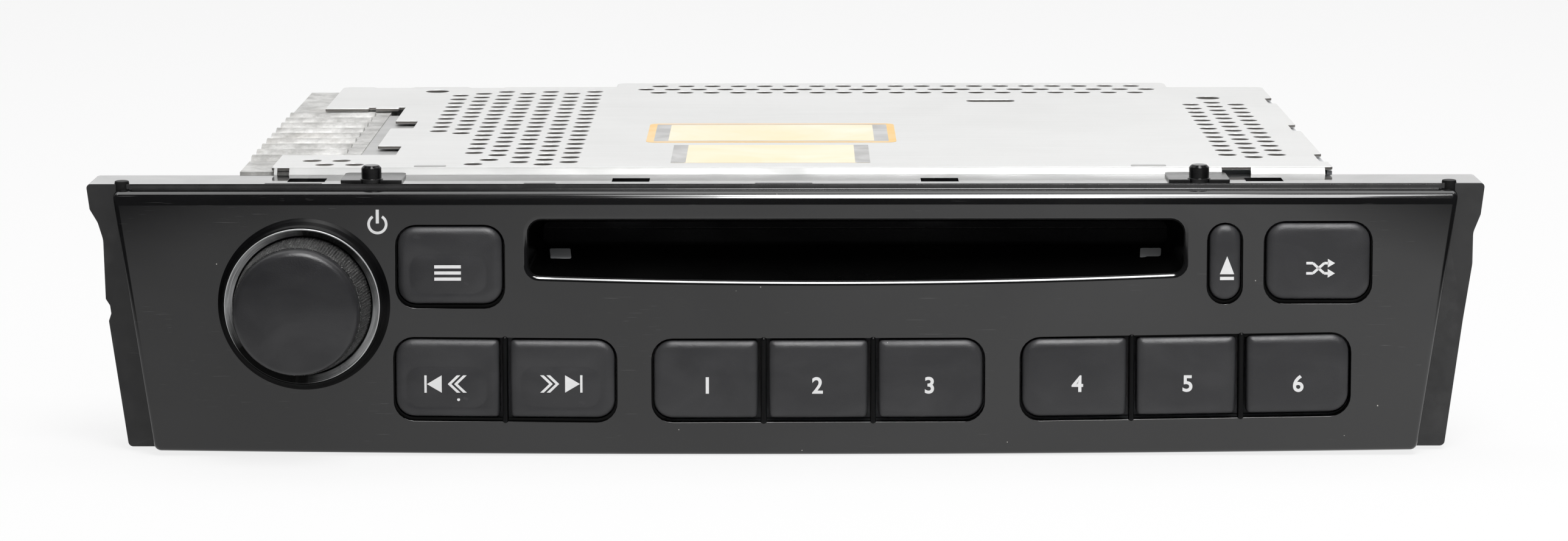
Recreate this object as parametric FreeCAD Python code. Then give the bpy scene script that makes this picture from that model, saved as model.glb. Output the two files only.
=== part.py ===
import FreeCAD, Part
import math
import os
from FreeCAD import Vector

# Car disc player with a slot in its front panel, in millimetres.
# +X is to the right of a person facing the panel, +Y goes back into the dashboard, +Z is up.
# The origin is below the middle of the whole unit, on the surface it stands on.

# Overall sizes
KNOB_TIP = -90.0
REAR_END = 90.0
COVER_TOP = 54.4
SHEET = 1.0

# Trim frame, the moulded surround that fills the dashboard aperture
FRAME_HALF = 137.0
FRAME_FRONT = -69.1
FRAME_BACK = -57.0
FRAME_TOP = 53.0
FRAME_FOOT = 0.6
FRAME_WALL = 2.0

# Front panel, leaned back about the X axis
PANEL_LEAN = 3.0
PANEL_FACE_AT_TOP = -72.1
PANEL_TOP = 52.3
PANEL_HALF_AT_FOOT = 123.9
PANEL_FLARE = 0.148
PANEL_BOW = 0.85
PANEL_WALL = 2.5
PANEL_RIM = 2.2
PANEL_DEPTH = 8.0

# Disc and its path
DISC_X = 13.85
DISC_Y = 19.0
DISC_UNDERSIDE = 40.3
PATH_TOP = 44.7
SLOT_HALF = 64.1
SLOT_TOP = 46.3
SLOT_LIP = 34.5
SLOT_SMILE = 1.3
THROAT_HALF = 61.8
THROAT_DEPTH = 12.4

# Controls on the panel: edges in X, heights above the panel's foot
KEY_GAP = 0.45
KEY_PROUD = 1.2
KEY_TRAVEL = 1.0
KEY_CORNER = 3.5
KEY_INNER_CORNER = 0.8
KNOB_X = -94.2
KNOB_Z = 29.9
SEEK_EDGES = (-76.4, -56.0, -53.9, -33.4)
PRESET_EDGES = (-25.7, -5.4, -3.1, 16.1, 18.3, 38.5)
PRESET_EDGES_RIGHT = (46.3, 66.8, 68.9, 88.2, 90.4, 110.3)
LOWER_ROW = (7.9, 23.1)
MODE_KEY = (-75.7, -55.4, 30.2, 45.1)
MIX_KEY = (93.6, 114.2, 30.9, 45.7)
EJECT_KEY = (82.7, 88.9, 30.8, 45.5)

# Front board, behind the panel and parallel to it
BOARD_FRONT = 9.0
BOARD_THICK = 1.6
DOME_TOP = 6.4
BOSSES = ((-112.0, 12.0), (-112.0, 44.0), (-29.5, 14.0), (42.5, 14.0), (114.5, 18.0), (78.5, 27.0))

# Main board
BOARD_Z = 6.4

# Steel chassis
CHASSIS_FRONT = -56.0
CHASSIS_BACK = 74.2
CHASSIS_LEFT = -87.0
CHASSIS_RIGHT = 108.8
CHASSIS_TOP = COVER_TOP - SHEET
BULGE_LEFT = -38.9
BULGE_RIGHT = 87.0
BULGE_BACK = 82.5
BULGE_FOOT = 27.0
SIDE_HOLE_Y = (-47.5, 50.0)
SIDE_HOLE_Z = 20.0
SIDE_HOLE_RADIUS = 2.1
COVER_SCREWS = ((-80.0, 47.0), (-46.0, 47.0), (101.0, 47.0), (50.0, 18.0))

# Cast heat sink on the left
SINK_LEFT = -108.6
SINK_BACK = 68.0
FIN_PITCH = 8.4
FIN_COUNT = 9
FIN_FIRST_Y = -35.3
FIN_THICK = 5.6

# Vent holes in the top cover
VENT_RADIUS = 1.9
VENT_PITCH_X = 5.0
VENT_PITCH_Y = 6.75
VENT_LEFT_X = -73.5
VENT_LEFT_COUNTS = (10, 11, 16, 16, 18, 18, 18)
VENT_RIGHT_X = 89.6

# Disc mechanism
DECK_FOOT = 33.0
DECK_THICK = 1.2
BRACKET_TOP = 27.0
BRACKET_LONG = 10.0
ROLLER_Y = -44.0
ROLLER_RADIUS = 4.4
ROLLER_Z = DISC_UNDERSIDE - 0.15 - ROLLER_RADIUS
SLED_START = DISC_X + 24.0
SLED_TRAVEL = 34.0
SLED_HALF = 8.0
ROD_Y = (2.0, 36.0)
ROD_Z = 29.5
ROD_RADIUS = 1.5
SCREW_Y = 44.0
SCREW_LEAD = 3.0
CLAMP_PIVOT_X = -50.4
CLAMP_PIVOT_Z = 46.6
ARM_FOOT = 49.6

# Gear trains: teeth and modules
LOAD_MODULE = 0.7
ROLLER_TEETH = 14
IDLER_TEETH = 24
LOAD_PINION_TEETH = 12
SLED_MODULE = 0.5
SCREW_TEETH = 20
SLED_PINION_TEETH = 12
PRESSURE_ANGLE = math.radians(20.0)
BACKLASH = 0.12

ALONG_X = Vector(1, 0, 0)
ALONG_Y = Vector(0, 1, 0)
ALONG_Z = Vector(0, 0, 1)


# Helpers

def box(x0, x1, y0, y1, z0, z1):
    """A block between two corners."""
    return Part.makeBox(x1 - x0, y1 - y0, z1 - z0, Vector(x0, y0, z0))


def rod(x, y, z, radius, length, axis):
    """A round bar that starts at a point and runs along an axis."""
    return Part.makeCylinder(radius, length, Vector(x, y, z), axis)


def tube(x, y, z, outer, inner, length, axis):
    """A round bar with a through bore."""
    return rod(x, y, z, outer, length, axis).cut(rod(x, y, z, inner, length, axis))


def front(level):
    """Places outline points on an upright plane that faces the viewer."""
    return lambda x, z: Vector(x, level, z)


def plan(level):
    """Places outline points on a level plane."""
    return lambda x, y: Vector(x, y, level)


def side(level):
    """Places outline points on an upright plane that faces sideways."""
    return lambda y, z: Vector(level, y, z)


def loop(corners, place, bow=None):
    """A closed wire through corners (a, b, radius); bow is the middle height of the first side."""
    count = len(corners)
    points = [Vector(a, b, 0) for a, b, _ in corners]
    entries, middles, exits = [], [], []
    for i, (_, _, radius) in enumerate(corners):
        here = points[i]
        back = (points[i - 1] - here).normalize()
        ahead = (points[(i + 1) % count] - here).normalize()
        half = back.getAngle(ahead) / 2
        run = radius / math.tan(half)
        inward = (back + ahead).normalize() if radius else back
        entries.append(here + back * run)
        exits.append(here + ahead * run)
        middles.append(here + inward * (radius / math.sin(half) - radius))
    edges = []
    for i in range(count):
        start, end = exits[i], entries[(i + 1) % count]
        if bow is not None and i == 0:
            centre = (start + end) * 0.5
            arc = (place(start.x, start.y), place(centre.x, bow), place(end.x, end.y))
            edges.append(Part.Arc(*arc).toShape())
        else:
            edges.append(Part.makeLine(place(start.x, start.y), place(end.x, end.y)))
        turn = (i + 1) % count
        if corners[turn][2]:
            arc = [place(p.x, p.y) for p in (entries[turn], middles[turn], exits[turn])]
            edges.append(Part.Arc(*arc).toShape())
    return Part.Wire(edges)


def slab(wire, run):
    """Extrudes a closed flat wire."""
    return Part.Face(wire).extrude(run)


def rounded_plate(x0, x1, z0, z1, radii, y0, y1):
    """An upright plate with a radius at each corner, from the lower left anticlockwise."""
    corners = zip((x0, x1, x1, x0), (z0, z0, z1, z1), radii)
    return slab(loop(list(corners), front(y0)), ALONG_Y * (y1 - y0))


def turned(profile, centre, axis):
    """Revolves a profile of (radius, along) points about an axis through a centre."""
    across = ALONG_X if axis.x == 0 else ALONG_Y
    points = [centre + across * r + axis * a for r, a in profile]
    face = Part.Face(Part.makePolygon(points + [points[0]]))
    return face.revolve(centre, axis, 360)


def fuse(first, *others):
    """Joins shapes into one solid and merges the faces that lie flush."""
    return first.fuse(list(others)).removeSplitter()


def cut(base, *tools):
    """Takes shapes out of a base."""
    return base.cut(list(tools))


def group(shapes):
    """Keeps separate solids together in one piece of the list."""
    return Part.makeCompound(list(shapes))


def lean(shape):
    """Moves a shape from the upright panel frame to the leaned one."""
    leaned = shape.copy()
    leaned.rotate(Vector(0, 0, 0), ALONG_X, -PANEL_LEAN)
    foot = PANEL_FACE_AT_TOP - FRAME_TOP * math.tan(math.radians(PANEL_LEAN))
    leaned.translate(Vector(0, foot, 0))
    return leaned


def local_depth(world_y, height):
    """Depth behind the panel's face of a point at a world Y and a height."""
    foot = PANEL_FACE_AT_TOP - FRAME_TOP * math.tan(math.radians(PANEL_LEAN))
    angle = math.radians(PANEL_LEAN)
    return (world_y - foot - height * math.sin(angle)) / math.cos(angle)


# Keys

def key_list():
    """Name, edges and corner radii of each key, in the panel frame."""
    round_all = (KEY_CORNER,) * 4
    keys = {"mode_button": (MODE_KEY, round_all), "mix_button": (MIX_KEY, round_all)}
    stadium = (EJECT_KEY[1] - EJECT_KEY[0]) / 2 - 0.01
    keys["eject_button"] = (EJECT_KEY, (stadium,) * 4)
    rows = (("previous_button", "next_button"),
            ("preset_button_1", "preset_button_2", "preset_button_3"),
            ("preset_button_4", "preset_button_5", "preset_button_6"))
    for names, edges in zip(rows, (SEEK_EDGES, PRESET_EDGES, PRESET_EDGES_RIGHT)):
        for i, name in enumerate(names):
            left = KEY_CORNER if i == 0 else KEY_INNER_CORNER
            right = KEY_CORNER if i == len(names) - 1 else KEY_INNER_CORNER
            rect = (edges[2 * i], edges[2 * i + 1]) + LOWER_ROW
            keys[name] = (rect, (left, right, right, left))
    return keys


def key_groups():
    """Outer edges of each opening in the panel, and the radius of its corners."""
    openings = [(MODE_KEY, KEY_CORNER), (MIX_KEY, KEY_CORNER), (EJECT_KEY, 3.09)]
    for edges in (SEEK_EDGES, PRESET_EDGES, PRESET_EDGES_RIGHT):
        openings.append(((edges[0], edges[-1]) + LOWER_ROW, KEY_CORNER))
    return openings


def key_cap(rect, radii):
    """A hollow key with a crowned face, a retaining flange and a stem."""
    x0, x1, z0, z1 = rect
    centre_x = (x0 + x1) / 2
    centre_z = (z0 + z1) / 2
    body = rounded_plate(x0, x1, z0, z1, radii, -KEY_PROUD, 3.6)
    crown_radius = 60.0
    crown = rod(x0 - 1, crown_radius - KEY_PROUD, centre_z, crown_radius, x1 - x0 + 2, ALONG_X)
    body = body.common(crown)
    rim = [e for e in body.Edges if e.BoundBox.YMax < 0 and len(e.Vertexes) == 2]
    body = body.makeChamfer(0.35, rim)
    wall = 1.3
    inner = [max(r - wall, 0.3) for r in radii]
    hollow = rounded_plate(x0 + wall, x1 - wall, z0 + wall, z1 - wall, inner, 0.9, 4.0)
    reach = 0.8
    flange = rounded_plate(x0 - reach, x1 + reach, z0 - reach, z1 + reach, (1.0,) * 4, 2.9, 3.6)
    window = box(x0 + wall, x1 - wall, 2.0, 4.0, z0 + wall, z1 - wall)
    body = fuse(cut(body, hollow), cut(flange, window))
    stem_reach = DOME_TOP - KEY_TRAVEL - 0.1
    width = min(1.6, (x1 - x0) / 2 - wall)
    stem = box(centre_x - width, centre_x + width, 0.5, stem_reach, centre_z - 1.2, centre_z + 1.2)
    return lean(fuse(body, stem))


# Front panel

def panel_outline(inset, level):
    """The panel's outline, drawn in by an inset, with its bowed foot."""
    slant = math.hypot(1, PANEL_FLARE)

    def half(z):
        return PANEL_HALF_AT_FOOT + PANEL_FLARE * z - inset * slant

    foot = PANEL_BOW + inset
    top = PANEL_TOP - inset
    radius = max(1.5 - inset, 0.4)
    corners = [(-half(foot), foot, radius), (half(foot), foot, radius),
               (half(top), top, radius), (-half(top), top, radius)]
    return loop(corners, front(level), bow=inset)


def panel_shell():
    """The open shell of the panel with its rounded top edge."""
    edge = 0.6
    shell = Part.makeLoft([panel_outline(edge, 0), panel_outline(0, edge)], True, True)
    shell = fuse(shell, slab(panel_outline(0, edge), ALONG_Y * (PANEL_DEPTH - edge)))
    profile = [(0, -2, 0), (PANEL_DEPTH, -2, 0), (PANEL_DEPTH, PANEL_TOP, 0), (0, PANEL_TOP, 3.0)]
    rounding = slab(loop(profile, side(-140)), ALONG_X * 280)
    shell = shell.common(rounding)
    hollow = slab(panel_outline(PANEL_RIM, PANEL_WALL), ALONG_Y * PANEL_DEPTH)
    return shell.cut(hollow)


def slot_wire(half, foot, top, smile, level):
    """Outline of the disc slot: straight above, bowed below."""
    left = DISC_X - half
    right = DISC_X + half
    radius = min(2.4, (top - foot) * 0.4)
    corners = [(left, foot + smile, radius), (right, foot + smile, radius),
               (right, top, radius), (left, top, radius)]
    return loop(corners, front(level), bow=foot)


def slot_throat(grow):
    """A funnel from the slot's mouth to the narrow gap behind it."""
    mouth = slot_wire(SLOT_HALF + grow, SLOT_LIP - grow, SLOT_TOP + grow, SLOT_SMILE, 0)
    gap_foot = DISC_UNDERSIDE - 0.1 - grow
    gap_top = PATH_TOP + 0.1 + grow
    gap = slot_wire(THROAT_HALF + grow, gap_foot, gap_top, 0.01, THROAT_DEPTH)
    return Part.makeLoft([mouth, gap], True, True)


def knob_lip():
    """The raised collar moulded round the knob's hole."""
    profile = [(15.2, 1.0), (15.2, -3.3), (15.4, -3.5), (15.7, -3.2), (16.1, -1.6), (16.6, -0.4), (16.9, 0.0),
               (16.9, 1.0)]
    return turned(profile, Vector(KNOB_X, 0, KNOB_Z), ALONG_Y)


def panel_openings():
    """The cuts through the panel for the keys and the knob."""
    tools = [rod(KNOB_X, -5, KNOB_Z, 15.2, 11, ALONG_Y)]
    for (x0, x1, z0, z1), radius in key_groups():
        edges = (x0 - KEY_GAP, x1 + KEY_GAP, z0 - KEY_GAP, z1 + KEY_GAP)
        tools.append(rounded_plate(*edges, (radius + KEY_GAP,) * 4, -2, PANEL_WALL + 1))
    return tools


def panel_ribs():
    """The bars that part the keys of one group."""
    ribs = []
    for edges in (SEEK_EDGES, PRESET_EDGES, PRESET_EDGES_RIGHT):
        for i in range(1, len(edges) - 1, 2):
            x0 = edges[i] + KEY_GAP
            x1 = edges[i + 1] - KEY_GAP
            profile = [(x0, PANEL_WALL, 0), (x0, -0.6, 0.4), (x1, -0.6, 0.4), (x1, PANEL_WALL, 0)]
            base = LOWER_ROW[0] - 1.0
            ribs.append(slab(loop(profile, plan(base)), ALONG_Z * (LOWER_ROW[1] + 1.0 - base)))
    return ribs


def front_panel():
    """The glossy front panel with its slot, openings, ribs and screw bosses."""
    shell = panel_shell()
    bosses = [rod(x, PANEL_WALL - 0.5, z, 2.4, BOARD_FRONT - PANEL_WALL + 0.5, ALONG_Y) for x, z in BOSSES]
    pilots = [rod(x, BOARD_FRONT - 4, z, 0.9, 5, ALONG_Y) for x, z in BOSSES]
    shell = fuse(shell, slot_throat(1.2).common(box(-140, 140, 0.5, 20, 0, 60)), knob_lip(), *bosses)
    shell = cut(shell, slot_throat(0), *panel_openings(), *pilots)
    shell = lean(fuse(shell, *panel_ribs()))
    behind = box(-140, 140, FRAME_FRONT, 0, 46.5, 60)
    under = box(-140, 140, -90, 0, -5, 0)
    edge = [box(-140, 140, FRAME_FRONT, 0, -5, 4), box(-140, -112, FRAME_FRONT, 0, -5, 60)]
    edge.append(box(118, 140, FRAME_FRONT, 0, -5, 60))
    groove = box(-128.7, 128.7, FRAME_FRONT - 0.7, 0, PANEL_TOP - 0.9, 60)
    return cut(shell, behind, under, *edge, groove, *corner_pegs(1.5, 9.0))


# Trim frame and what is fixed on it

def corner_pegs(radius, length):
    """The two upright pegs behind the panel's top corners, or the holes for them."""
    return [rod(x, FRAME_FRONT + 1.1, 49.6, radius, length, ALONG_Z) for x in (-130.1, 130.1)]


def frame_outline():
    """The frame's outline, with a waist on both sides and a notch on the left."""
    right = [(130.2, FRAME_FOOT, 1.0), (133.3, 25.8, 5.0), (134.9, 37.0, 5.0), (134.9, 43.2, 3.5),
             (136.3, 46.8, 1.5), (FRAME_HALF, FRAME_TOP, 0.8)]
    left = [(-FRAME_HALF, FRAME_TOP, 0.8), (-136.4, 48.0, 0.6), (-134.9, 45.4, 3.0), (-133.9, 42.0, 5.0),
            (-133.7, 30.2, 0.4), (-132.9, 28.9, 0.6), (-132.7, 27.3, 0.5), (-133.2, 25.8, 0.6),
            (-129.9, FRAME_FOOT, 1.0)]
    return right + left


def frame_cavity():
    """The space inside the frame, which follows the panel's taper."""
    half_foot, half_top = 121.0, 127.8
    corners = [(-half_foot, 3.2, 2.0), (half_foot, 3.2, 2.0), (half_top, 50.4, 2.0), (-half_top, 50.4, 2.0)]
    return slab(loop(corners, front(FRAME_FRONT - 1)), ALONG_Y * (FRAME_BACK - FRAME_WALL - FRAME_FRONT + 1))


def frame_windows():
    """Cuts through the frame's back and top walls."""
    tools = [box(-52, 80, -60, -56, 37.0, 48.4), box(-34, 14, -60, -56, 9.0, 21.0)]
    tools += [rounded_plate(x, x + 30, 8.0, 30.0, (3.0,) * 4, -60, -56) for x in (-104, -70, 32, 72)]
    for x in (-94.2, -30.4, 30.4, 94.2):
        tools.append(box(x - 3.7, x + 3.7, -66.5, -61.5, 50, 54))
    tools += [box(x0, x1, -68.9, -68.1, 51.8, 54) for x0, x1 in ((-102, -90.8), (-51.2, -45), (-5.9, 5.3))]
    tools += [rod(x, -63.0, 50, 1.3, 4, ALONG_Z) for x in (-81.2, 81.2)]
    return tools + corner_pegs(1.5, 9.0)


def side_pockets():
    """Moulding pockets in the thick ends of the frame, open to the back."""
    tools = []
    for i in range(4):
        z = 4.0 + i * 11.5
        inner = 123.4 + 0.148 * z
        for sign in (-1, 1):
            x0, x1 = sorted((sign * inner, sign * (inner + 4.6)))
            tools.append(box(x0, x1, -67.0, -56.0, z, z + 9.5))
    return tools


def trim_frame():
    """The moulded frame round the panel, screwed to the chassis front."""
    body = slab(loop(frame_outline(), front(FRAME_FRONT)), ALONG_Y * (FRAME_BACK - FRAME_FRONT))
    ridge = box(-128.4, 128.4, FRAME_FRONT - 0.5, FRAME_FRONT, 51.6, 52.8)
    return cut(fuse(body, ridge), frame_cavity(), *frame_windows(), *side_pockets())


def locating_clip(x):
    """A clip plate on the frame's top with its chamfered post and snap stem."""
    plate = slab(loop([(x - 6, -68.2, 0.4), (x + 6, -68.2, 0.4), (x + 6, -57.5, 1.0), (x - 6, -57.5, 1.0)],
                      plan(FRAME_TOP)), ALONG_Z * 0.6)
    profile = [(0, 0), (2.25, 0), (2.25, 0.8), (1.975, 0.8), (1.975, 2.9), (1.475, 3.4), (0, 3.4)]
    post = turned(profile, Vector(x, -66.9, FRAME_TOP), ALONG_Z)
    stem = rod(x, -63.0, FRAME_TOP - 3.2, 1.2, 3.3, ALONG_Z)
    return fuse(plate, post, stem)


def panel_screws():
    """The pegs at the panel's top corners."""
    return group(corner_pegs(1.4, 3.9))


# Volume knob, from the panel frame

def knob_part(profile):
    """Turns a profile of (radius, depth) about the knob's axis and leans it."""
    return lean(turned(profile, Vector(KNOB_X, 0, KNOB_Z), ALONG_Y))


def knob_ring():
    """The bright ring round the knob's base."""
    return knob_part([(13.9, 2.4), (15.2, 2.4), (15.2, -3.5), (14.95, -3.9), (14.75, -3.9), (13.9, -3.0)])


def shaft_blank():
    """The encoder's shaft with its flat."""
    shaft = rod(KNOB_X, -12.0, KNOB_Z, 3.0, 19.5, ALONG_Y)
    return shaft.cut(box(KNOB_X - 4, KNOB_X + 4, -13.0, 0.5, KNOB_Z + 1.5, KNOB_Z + 4))


def volume_knob():
    """The tapered skirt with its hub, pushed onto the shaft."""
    profile = [(0, -10.4), (4.6, -10.4), (4.6, 0.4), (0, 0.4)]
    hub = turned(profile, Vector(KNOB_X, 0, KNOB_Z), ALONG_Y)
    skirt = [(0, -12.6), (12.4, -12.6), (13.5, -0.6), (12.3, -0.6), (11.3, -10.4), (0, -10.4)]
    body = fuse(turned(skirt, Vector(KNOB_X, 0, KNOB_Z), ALONG_Y), hub)
    return lean(body.cut(shaft_blank()))


def knob_cap():
    """The domed front of the knob."""
    tip = local_depth(KNOB_TIP, KNOB_Z)
    rim = tip + 1.3
    sag = rim - tip
    dome = (11.0 ** 2 + sag ** 2) / (2 * sag)
    steps = [i / 6 for i in range(7)]
    arc = [(11.0 * s, tip + dome - math.sqrt(dome ** 2 - (11.0 * s) ** 2)) for s in steps]
    return knob_part([(0, -12.6)] + arc + [(11.8, rim + 0.8), (12.0, rim + 1.7), (12.2, -12.6)])


def switch_plunger():
    """The sleeve that slides when the knob is pushed."""
    return lean(tube(KNOB_X, 1.4, KNOB_Z, 4.2, 3.04, 6.6, ALONG_Y))


def encoder_shaft():
    """The turning shaft of the volume control."""
    return lean(shaft_blank())


def volume_encoder():
    """The volume control's housing on the front board."""
    body = box(KNOB_X - 6.5, KNOB_X + 6.5, 3.0, BOARD_FRONT, KNOB_Z - 6.5, KNOB_Z + 6.5)
    lugs = [box(KNOB_X - 7.2, KNOB_X - 6.5, 5, 8.9, KNOB_Z - 2, KNOB_Z + 2)]
    lugs.append(box(KNOB_X + 6.5, KNOB_X + 7.2, 5, 8.9, KNOB_Z - 2, KNOB_Z + 2))
    return lean(fuse(body, *lugs).cut(rod(KNOB_X, 0, KNOB_Z, 4.3, 20, ALONG_Y)))


# Behind the panel

def key_centres():
    """Centre of each key in the panel frame."""
    return [((r[0] + r[1]) / 2, (r[2] + r[3]) / 2) for r, _ in key_list().values()]


def board_outline(level, inset):
    """Outline shared by the front board and the keypad: a tray shape below the slot."""
    corners = [(-117.0 + inset, 5.0 + inset, 1.0), (117.0 - inset, 5.0 + inset, 1.0),
               (119.5 - inset, 49.0 - inset, 1.0), (81.0 + inset, 49.0 - inset, 1.0),
               (81.0 + inset, 32.0 - inset, 1.0), (-53.5 - inset, 32.0 - inset, 1.0),
               (-53.5 - inset, 49.0 - inset, 1.0), (-119.5 + inset, 49.0 - inset, 1.0)]
    return loop(corners, front(level))


def rubber_keypad():
    """The silicone mat with a dome behind each key."""
    mat = slab(board_outline(BOARD_FRONT - 1.2, 0.6), ALONG_Y * 1.2)
    domes = [Part.makeCone(1.8, 2.7, 1.5, Vector(x, DOME_TOP, z), ALONG_Y) for x, z in key_centres()]
    holes = [rod(x, 5, z, 2.7, 6, ALONG_Y) for x, z in BOSSES]
    holes.append(box(KNOB_X - 8, KNOB_X + 8, 5, 11, KNOB_Z - 8, KNOB_Z + 8))
    return lean(cut(fuse(mat, *domes), *holes))


def front_circuit_board():
    """The board that carries the key contacts and the volume control."""
    board = slab(board_outline(BOARD_FRONT, 0), ALONG_Y * BOARD_THICK)
    return lean(cut(board, *[rod(x, BOARD_FRONT - 1, z, 1.3, 4, ALONG_Y) for x, z in BOSSES]))


def board_screws():
    """The screws that hold the front board on the panel's bosses."""
    head = [(0, 2.0), (2.2, 2.0), (2.4, 0), (0.85, 0), (0.85, -4.0), (0, -4.0)]
    back = BOARD_FRONT + BOARD_THICK
    return lean(group(turned(head, Vector(x, back, z), ALONG_Y) for x, z in BOSSES))


def board_connector():
    """The plug-in connector between the front board and the main board."""
    back = local_depth(-52.0, 15.0)
    return lean(box(-25, 8, BOARD_FRONT + BOARD_THICK, back, 12, 18))


def slot_felts():
    """The two dust strips behind the slot."""
    strips = []
    for z0, z1 in ((37.4, DISC_UNDERSIDE - 0.1), (PATH_TOP + 0.1, 48.0)):
        strips.append(box(DISC_X - 63.5, DISC_X + 63.5, -58.8, -57.2, z0, z1))
    return group(strips)


# Chassis

def side_collars():
    """Threaded collars inside the right wall for a mounting bracket."""
    wall = CHASSIS_RIGHT - SHEET
    return [rod(wall - 3, y, SIDE_HOLE_Z, 3.6, 3.2, ALONG_X) for y in SIDE_HOLE_Y]


def standoffs():
    """Raised pads under the main board."""
    places = ((-80, -48), (80, -48), (-80, 62), (50, 62), (10, -20), (10, 40))
    return [Part.makeCone(4.0, 2.6, 5.4, Vector(x, y, SHEET), ALONG_Z) for x, y in places]


def chassis_cuts():
    """Windows, vents and holes in the chassis walls."""
    tools = [box(-50.5, 78.5, -57, -54, 38.4, 46.6), box(-33, 13, -57, -54, 9.5, 20.5)]
    tools += [rod(CHASSIS_RIGHT - 6, y, SIDE_HOLE_Z, SIDE_HOLE_RADIUS, 8, ALONG_X) for y in SIDE_HOLE_Y]
    tools.append(box(-82.3, -43.7, 73, 75, 7.7, 30.3))
    tools.append(rod(97, 72, 20, 6.6, 4, ALONG_Y))
    tools.append(rod(DISC_X, 72, 14, 2.6, 4, ALONG_Y))
    tools += [rod(x, 72, z, 1.5, 4, ALONG_Y) for x, z in COVER_SCREWS]
    tools.append(box(CHASSIS_LEFT - 1, CHASSIS_RIGHT + 1, CHASSIS_FRONT - 1, CHASSIS_FRONT + SHEET, 52.6, 54))
    for i in range(6):
        x = -60 + i * 26
        tools += [box(x, x + 16, y, y + 3, -1, 2) for y in (-34, 22, 52)]
    tools += [box(107, 109, -32 + i * 10, -28 + i * 10, 30, 44) for i in range(8)]
    return tools


def lower_chassis():
    """The folded steel tub, closed on its left by the heat sink."""
    outer = fuse(box(CHASSIS_LEFT, CHASSIS_RIGHT, CHASSIS_FRONT, CHASSIS_BACK, 0, CHASSIS_TOP),
                 box(BULGE_LEFT, BULGE_RIGHT, CHASSIS_BACK - 1, BULGE_BACK, BULGE_FOOT, CHASSIS_TOP))
    inner = fuse(box(CHASSIS_LEFT - 1, CHASSIS_RIGHT - SHEET, CHASSIS_FRONT + SHEET, CHASSIS_BACK - SHEET,
                     SHEET, CHASSIS_TOP + 1),
                 box(BULGE_LEFT + SHEET, BULGE_RIGHT - SHEET, CHASSIS_BACK - 3, BULGE_BACK - SHEET,
                     BULGE_FOOT + SHEET, CHASSIS_TOP + 1))
    ledge = box(100.8, CHASSIS_RIGHT - SHEET, -50, 70, CHASSIS_TOP - SHEET, CHASSIS_TOP)
    return_wall = box(CHASSIS_LEFT, CHASSIS_LEFT + SHEET, SINK_BACK - 2, CHASSIS_BACK, 0, CHASSIS_TOP)
    shell = fuse(outer.cut(inner), ledge, return_wall, *side_collars(), *standoffs())
    return cut(shell, *chassis_cuts())


def vent(x, y, radius):
    """An eight-sided hole through the cover with the area of the round one."""
    reach = radius * math.sqrt(math.pi / (2 * math.sqrt(2)))
    turns = [math.radians(22.5 + 45 * (i % 8)) for i in range(9)]
    return Part.makePolygon([Vector(x + reach * math.cos(a), y + reach * math.sin(a), CHASSIS_TOP) for a in turns])


def vent_places():
    """Centres of the round vents in the cover."""
    places = []
    for i, count in enumerate(VENT_LEFT_COUNTS):
        first = 60.0 if i == 0 else (66.75 if i % 2 == 0 else 63.4)
        places += [(VENT_LEFT_X + VENT_PITCH_X * i, first - VENT_PITCH_Y * k) for k in range(count)]
    for i, (first, count) in enumerate(((42.7, 13), (46.1, 14), (42.7, 13))):
        places += [(VENT_RIGHT_X + VENT_PITCH_X * i, first - VENT_PITCH_Y * k) for k in range(count)]
    for y, first, count in ((65.0, -29.0, 19), (71.0, -32.0, 20), (77.0, -29.0, 19)):
        places += [(first + 6.0 * k, y) for k in range(count)]
    places += [(-59.7, -44.8), (-62.5, -51.0)]
    places += [(-95.2, -46.0), (-89.3, -46.0), (-92.1, -51.8), (-86.1, -51.8)]
    return places


def cover_outline():
    """Plan of the cover: the cut-out over the heat sink, the rear bulge and the tab notches."""
    corners = [(-101.6, -55.9, 0.6), (CHASSIS_RIGHT, -55.9, 0.6)]
    for y0, y1 in ((-49.0, -37.0), (-2.0, 8.5), (44.0, 54.5)):
        corners += [(CHASSIS_RIGHT, y0, 0), (107.2, y0 + 0.6, 0), (107.2, y1 - 0.6, 0), (CHASSIS_RIGHT, y1, 0)]
    corners += [(CHASSIS_RIGHT, CHASSIS_BACK, 2.0), (BULGE_RIGHT, CHASSIS_BACK, 1.0),
                (BULGE_RIGHT, BULGE_BACK, 2.0), (BULGE_LEFT, BULGE_BACK, 2.0),
                (BULGE_LEFT, CHASSIS_BACK, 1.0), (-96.0, CHASSIS_BACK, 2.0),
                (-96.0, 34.9, 0), (CHASSIS_LEFT, 34.9, 1.0),
                (CHASSIS_LEFT, 15.2, 0), (-78.8, 15.2, 0.5), (-78.8, 2.8, 0.5), (CHASSIS_LEFT, 2.8, 0),
                (CHASSIS_LEFT, -26.4, 0), (-78.8, -26.4, 0.5), (-78.8, -39.4, 0)]
    corners += [(-101.6, -39.4, 0)]
    return loop(corners, plan(CHASSIS_TOP))


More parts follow.
